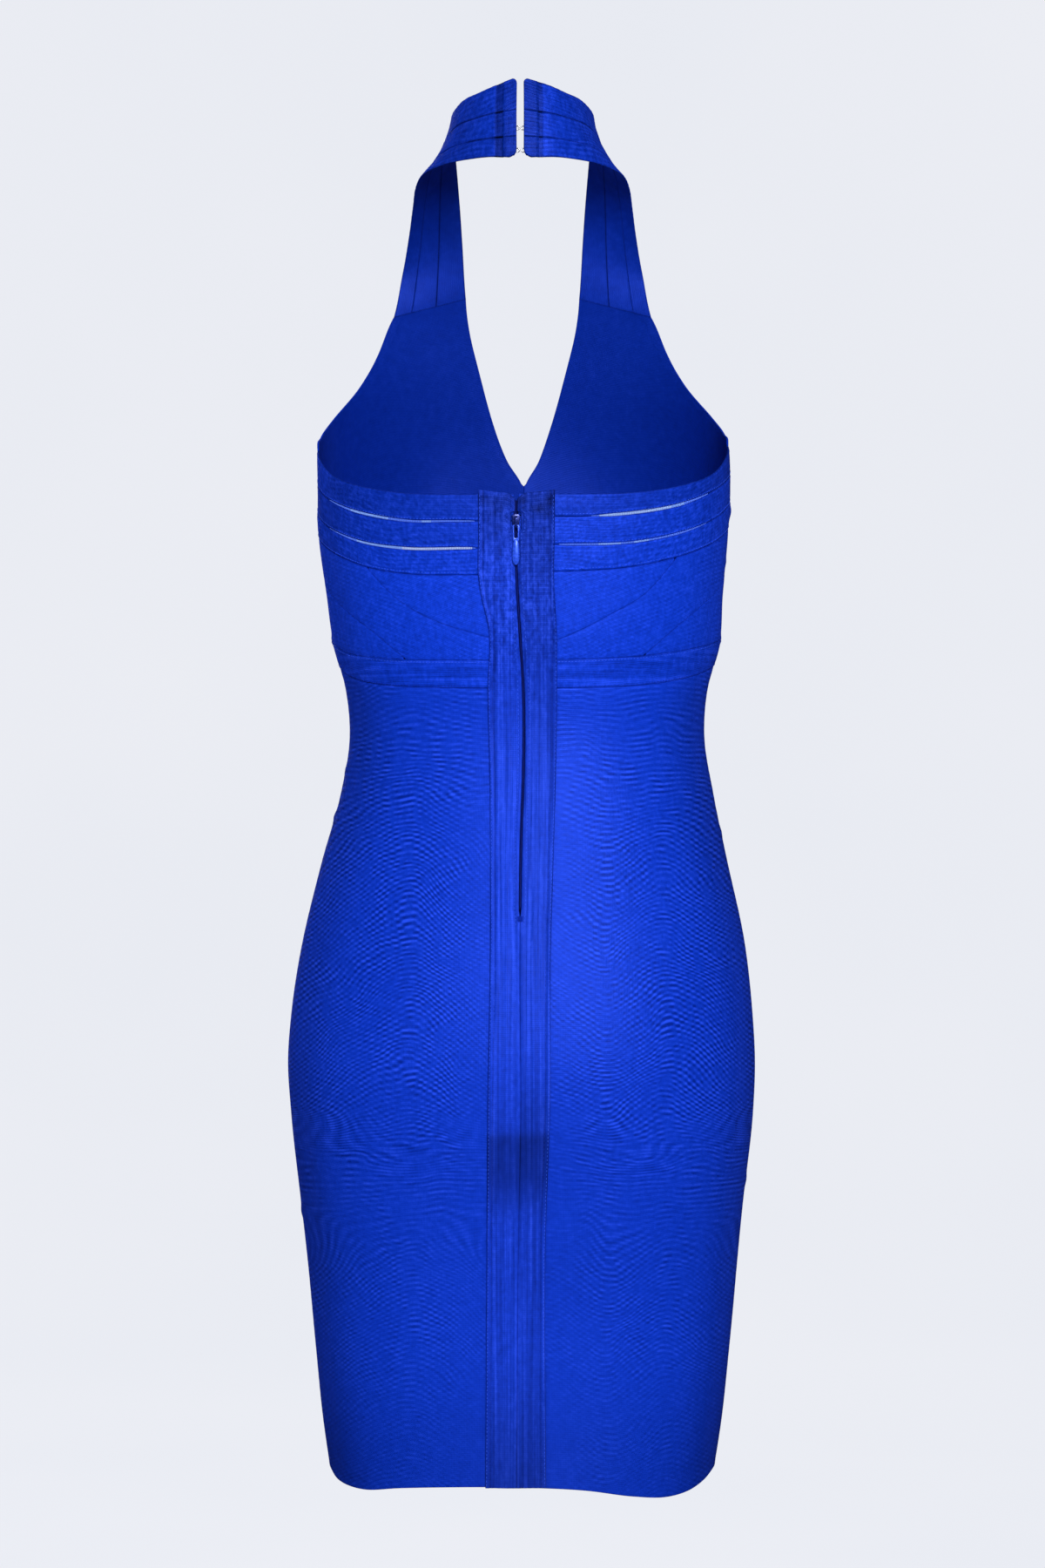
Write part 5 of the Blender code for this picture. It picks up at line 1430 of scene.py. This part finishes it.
at = Vector(zip_point(0, SLIDER_OUT, SLIDER_Z))
below = zip_point(0, SLIDER_OUT, SLIDER_Z - 0.004)
above = zip_point(0, SLIDER_OUT, SLIDER_Z + 0.004)
lean = atan2(above[1] - below[1], above[2] - below[2])
turn_m = Matrix.Rotation(-lean, 4, "X")
w, h = PLATE_W / 2, PLATE_H / 2
outline = (arc(-w + 1.6 * MM, h - 1.6 * MM, 1.6 * MM, 180, 90, 8) + arc(w - 1.6 * MM, h - 1.6 * MM, 1.6 * MM, 90, 0, 8)
           + arc(w - 2.0 * MM, -h + 1.2 * MM, 1.2 * MM, 0, -90, 8) + arc(-w + 2.0 * MM, -h + 1.2 * MM, 1.2 * MM, -90, -180, 8))
plate = prism("slider_plate", outline, 0, PLATE_T, SLIDER_PAINT_AND_SHADE, 0.32 * MM)
top = PLATE_T + BRIDGE_ROOM + BRIDGE_T
z0, z1, leg = -h + 0.5 * MM, h - 1.0 * MM, 0.9 * MM
bridge = [(PLATE_T - 0.4 * MM, z0), (top - 0.7 * MM, z0), (top, z0 + 0.9 * MM),
          (top, z1 - 1.6 * MM), (top - 1.2 * MM, z1), (PLATE_T - 0.4 * MM, z1),
          (PLATE_T - 0.4 * MM, z1 - leg - 0.9 * MM), (PLATE_T, z1 - leg - 0.9 * MM),
          (PLATE_T + BRIDGE_ROOM, z1 - leg - 1.7 * MM), (PLATE_T + BRIDGE_ROOM, z0 + leg),
          (PLATE_T, z0 + leg), (PLATE_T - 0.4 * MM, z0 + leg)]
arch = prism("slider_bridge", bridge, -BRIDGE_W / 2, BRIDGE_W / 2, SLIDER_PAINT_AND_SHADE, 0.22 * MM, axis="x")
for ob in (plate, arch):
    settle(ob)
    ob.location = at
    ob.rotation_euler = (-lean, 0, 0)
bpy.context.view_layer.update()
for ob in (plate, arch):
    ob.data.transform(ob.matrix_world)
    ob.matrix_world = Matrix.Identity(4)
    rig.ride(ob, "dress")
    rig.slot(ob, "zip_paint")
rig.replaces(plate, "zip_slider")

# the pull: an open ring that runs into a domed paddle
pivot = at + turn_m @ Vector((0, PLATE_T + BRIDGE_ROOM / 2, -PULL_PIVOT_DOWN))
lw, bar, th = PULL_LOOP_W / 2, PULL_BAR / 2, PULL_T / 2
hole, low = lw - 1.05 * MM, -PULL_LOOP_L - 1.2 * MM
ring = (arc(-lw + 0.9 * MM, bar - 0.9 * MM, 0.9 * MM, 180, 90, 6) + arc(lw - 0.9 * MM, bar - 0.9 * MM, 0.9 * MM, 90, 0, 6)
        + arc(0, low + 1.3 * MM, lw, -25, -155, 12))
pull = prism("pull_ring", ring, -th, th, PAINT, 0)
window = prism("pull_window", arc(0, -PULL_LOOP_L + hole + 0.3 * MM, hole, 0, -180, 12) + [(-hole, -bar), (hole, -bar)],
               -2 * th, 2 * th, PAINT, 0)
cut = pull.modifiers.new("window", "BOOLEAN")
cut.operation, cut.object, cut.solver = "DIFFERENCE", window, "EXACT"
bev = pull.modifiers.new("bevel", "BEVEL")
bev.width, bev.segments, bev.limit_method, bev.angle_limit = 0.32 * MM, 4, "ANGLE", radians(50)
settle(pull)
bpy.data.objects.remove(window, do_unlink=True)
pull.data.transform(Matrix.Translation(pivot))
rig.ride(pull, "pull_tab")
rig.slot(pull, "zip_paint")
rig.replaces(pull, "zip_pull")

# rings of the paddle: height, half width, half thickness (mm)
PADDLE = ((-9.75, 0.55, 0.25), (-10.0, 1.05, 0.42), (-10.6, 1.45, 0.52), (-11.6, 1.75, 0.60), (-13.0, 2.05, 0.68),
          (-15.0, 2.28, 0.74), (-17.5, 2.40, 0.78), (-20.0, 2.45, 0.78), (-22.5, 2.38, 0.72), (-24.2, 2.10, 0.62),
          (-25.4, 1.60, 0.50), (-26.2, 1.05, 0.36), (-26.7, 0.45, 0.20))
PADDLE_AT = curve([-r[0] for r in PADDLE], [r[1:] for r in PADDLE])
verts, faces, sides = [], [], 32
levels = np.concatenate([np.linspace(9.75, 12, 14), np.linspace(12.3, 24.0, 30), np.linspace(24.2, 26.7, 18)])
for level in levels:
    pw, pt = PADDLE_AT(level)
    for k in range(sides):
        a = 2 * pi * k / sides
        # a flattened oval with a soft ridge down the middle of its face
        x = pw * np.sign(cos(a)) * abs(cos(a))**0.85
        verts.append((x * MM, pt * sin(a) * MM, -level * MM))
for i in range(len(levels) - 1):
    for k in range(sides):
        a, b = i * sides + k, i * sides + (k + 1) % sides
        faces.append((a, a + sides, b + sides, b))
faces += [tuple(range(sides)), tuple(range(len(levels) * sides - 1, (len(levels) - 1) * sides - 1, -1))]
paddle = mesh_object("pull_paddle", verts, faces, PAINT)
paddle.data.transform(Matrix.Translation(pivot))
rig.ride(paddle, "pull_tab")
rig.slot(paddle, "zip_paint")


# ------------------------------------------------------------------ hooks and eyes
def halter_single(side, share, u, out):
    P, N = halter_grid(side, [share], [u])
    return Vector(P[0, 0] + out * N[0, 0])


deep_wire = -CLOTH - LAY - 1.0 * MM - GAP - WIRE
middle = (HALTER_START[1] - HALTER_START[-1]) / 2
for k, share in ((1, 0.62), (2, 0.90)):
    for side, kind in ((1, "hook"), (-1, "eye")):
        half = BEND / 0.056
        a0, a1 = (halter_single(side, share - half, u, deep_wire) for u in (0.16, 0.0))
        b0, b1 = (halter_single(side, share + half, u, deep_wire) for u in (0.0, 0.16))
        tip = middle + side * (WIRE + 0.2 * MM)
        m = (a1 + b0) / 2
        bend = [Vector((tip + side * BEND * (1 - cos(radians(w))), m.y, m.z + BEND * sin(radians(w))))
                for w in range(80, -81, -16)]
        path = [tuple(p) for p in [a0, a1] + bend + [b0, b1]]
        verts, faces = tube_rows([(path, np.array([0, 1, 0.0]))], WIRE, 12)
        ob = mesh_object(f"{kind}_wire_{k}", [tuple(v) for v in verts], faces, STEEL)
        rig.ride(ob, "dress")
        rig.slot(ob, "wire")
        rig.replaces(ob, f"{kind}_{k}")

# ------------------------------------------------------------------ stage
bpy.context.scene.view_settings.view_transform = "Standard"
bpy.context.scene.view_settings.look = "None"


def stage():
    """A pale floor that rises into a wall all round."""
    n = Nodes("studio")
    cloud = n.noise(0.7, 3.0)
    pale = n.mix(cloud, (0.82, 0.85, 0.92, 1), (0.90, 0.91, 0.96, 1))
    n.finish(Base_Color=(0.02, 0.02, 0.022, 1), Roughness=0.9, Specular_IOR_Level=0.0, Emission_Color=pale,
             Emission_Strength=0.94)
    profile = [(0.0, -1.45), (3.6, -1.45)]
    profile += [(3.6 + 2.4 * sin(radians(a)), -1.45 + 2.4 * (1 - cos(radians(a)))) for a in range(6, 91, 6)]
    profile += [(6.0, 2.6)]
    verts, faces = [(0, 0, -1.45)], []
    m = 96
    for r, z in profile[1:]:
        verts += [(r * cos(2 * pi * k / m), r * sin(2 * pi * k / m), z) for k in range(m)]
    faces += [(0, 1 + k, 1 + (k + 1) % m) for k in range(m)]
    for i in range(len(profile) - 2):
        for k in range(m):
            a, b = 1 + i * m + k, 1 + i * m + (k + 1) % m
            faces.append((a, a + m, b + m, b))
    ob = mesh_object("studio_floor", verts, faces, n.mat)
    ob.visible_diffuse = ob.visible_glossy = ob.visible_shadow = False
    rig.stage(ob)


stage()
world = bpy.data.worlds.new("studio_air")
bpy.context.scene.world = world
world.use_nodes = True
world.node_tree.nodes["Background"].inputs[0].default_value = (0.90, 0.93, 1.0, 1)
world.node_tree.nodes["Background"].inputs[1].default_value = 0.15
world.cycles_visibility.glossy = False


def softbox(name, place, size, watts, aim=(0, 0, -0.5), colour=(1, 1, 1)):
    data = bpy.data.lights.new(name, "AREA")
    data.shape, data.size, data.size_y = "RECTANGLE", size[0], size[1]
    data.energy, data.color = watts, colour
    ob = bpy.data.objects.new(name, data)
    bpy.context.scene.collection.objects.link(ob)
    ob.location = place
    ob.rotation_euler = (Vector(aim) - Vector(place)).to_track_quat("-Z", "Y").to_euler()
    ob.visible_camera = False
    return ob


softbox("key", (-0.50, 3.4, 0.95), (1.5, 1.5), 22).visible_glossy = False
softbox("key_sheen", (-0.62, 3.4, 0.78), (1.3, 1.3), 110)
softbox("bounce", (-0.15, 2.7, -2.2), (1.5, 1.5), 17, aim=(0, 0, -0.6)).visible_glossy = False
softbox("low", (1.9, 2.9, -0.25), (0.8, 0.8), 11, aim=(0.02, 0, -0.33)).visible_glossy = False
softbox("front", (2.3, -2.8, 1.3), (1.1, 1.1), 112).visible_glossy = False
softbox("front_fill", (-2.2, -2.7, 0.2), (1.2, 1.2), 16).visible_glossy = False
softbox("front_sheen", (0.9, -3.4, 0.9), (1.3, 1.3), 26)
softbox("left", (3.9, -0.6, 0.5), (1.0, 2.2), 6).visible_glossy = False

camera_data = bpy.data.cameras.new("camera")
camera_data.lens, camera_data.sensor_width = 100, 36
camera_data.clip_start, camera_data.clip_end = 0.1, 60
camera = bpy.data.objects.new("camera", camera_data)
bpy.context.scene.collection.objects.link(camera)
camera.location = (0, 3.05, -0.4667)
camera.rotation_euler = (radians(90), 0, radians(180))
bpy.context.scene.camera = camera

# ------------------------------------------------------------------ cloth as cut
for piece, width, length, area in CUT:
    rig.sheet(made[piece], flat=(width * MM, length * MM), held="stretched", area=min(area * 1e-4, width * length * 1e-6))

# ------------------------------------------------------------------ last lines
seen_low, seen_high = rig.bounds()
with open("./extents.json", "w") as f:
    json.dump({"cad": [list(cad_low), list(cad_high)], "seen": [list(seen_low), list(seen_high)]}, f)
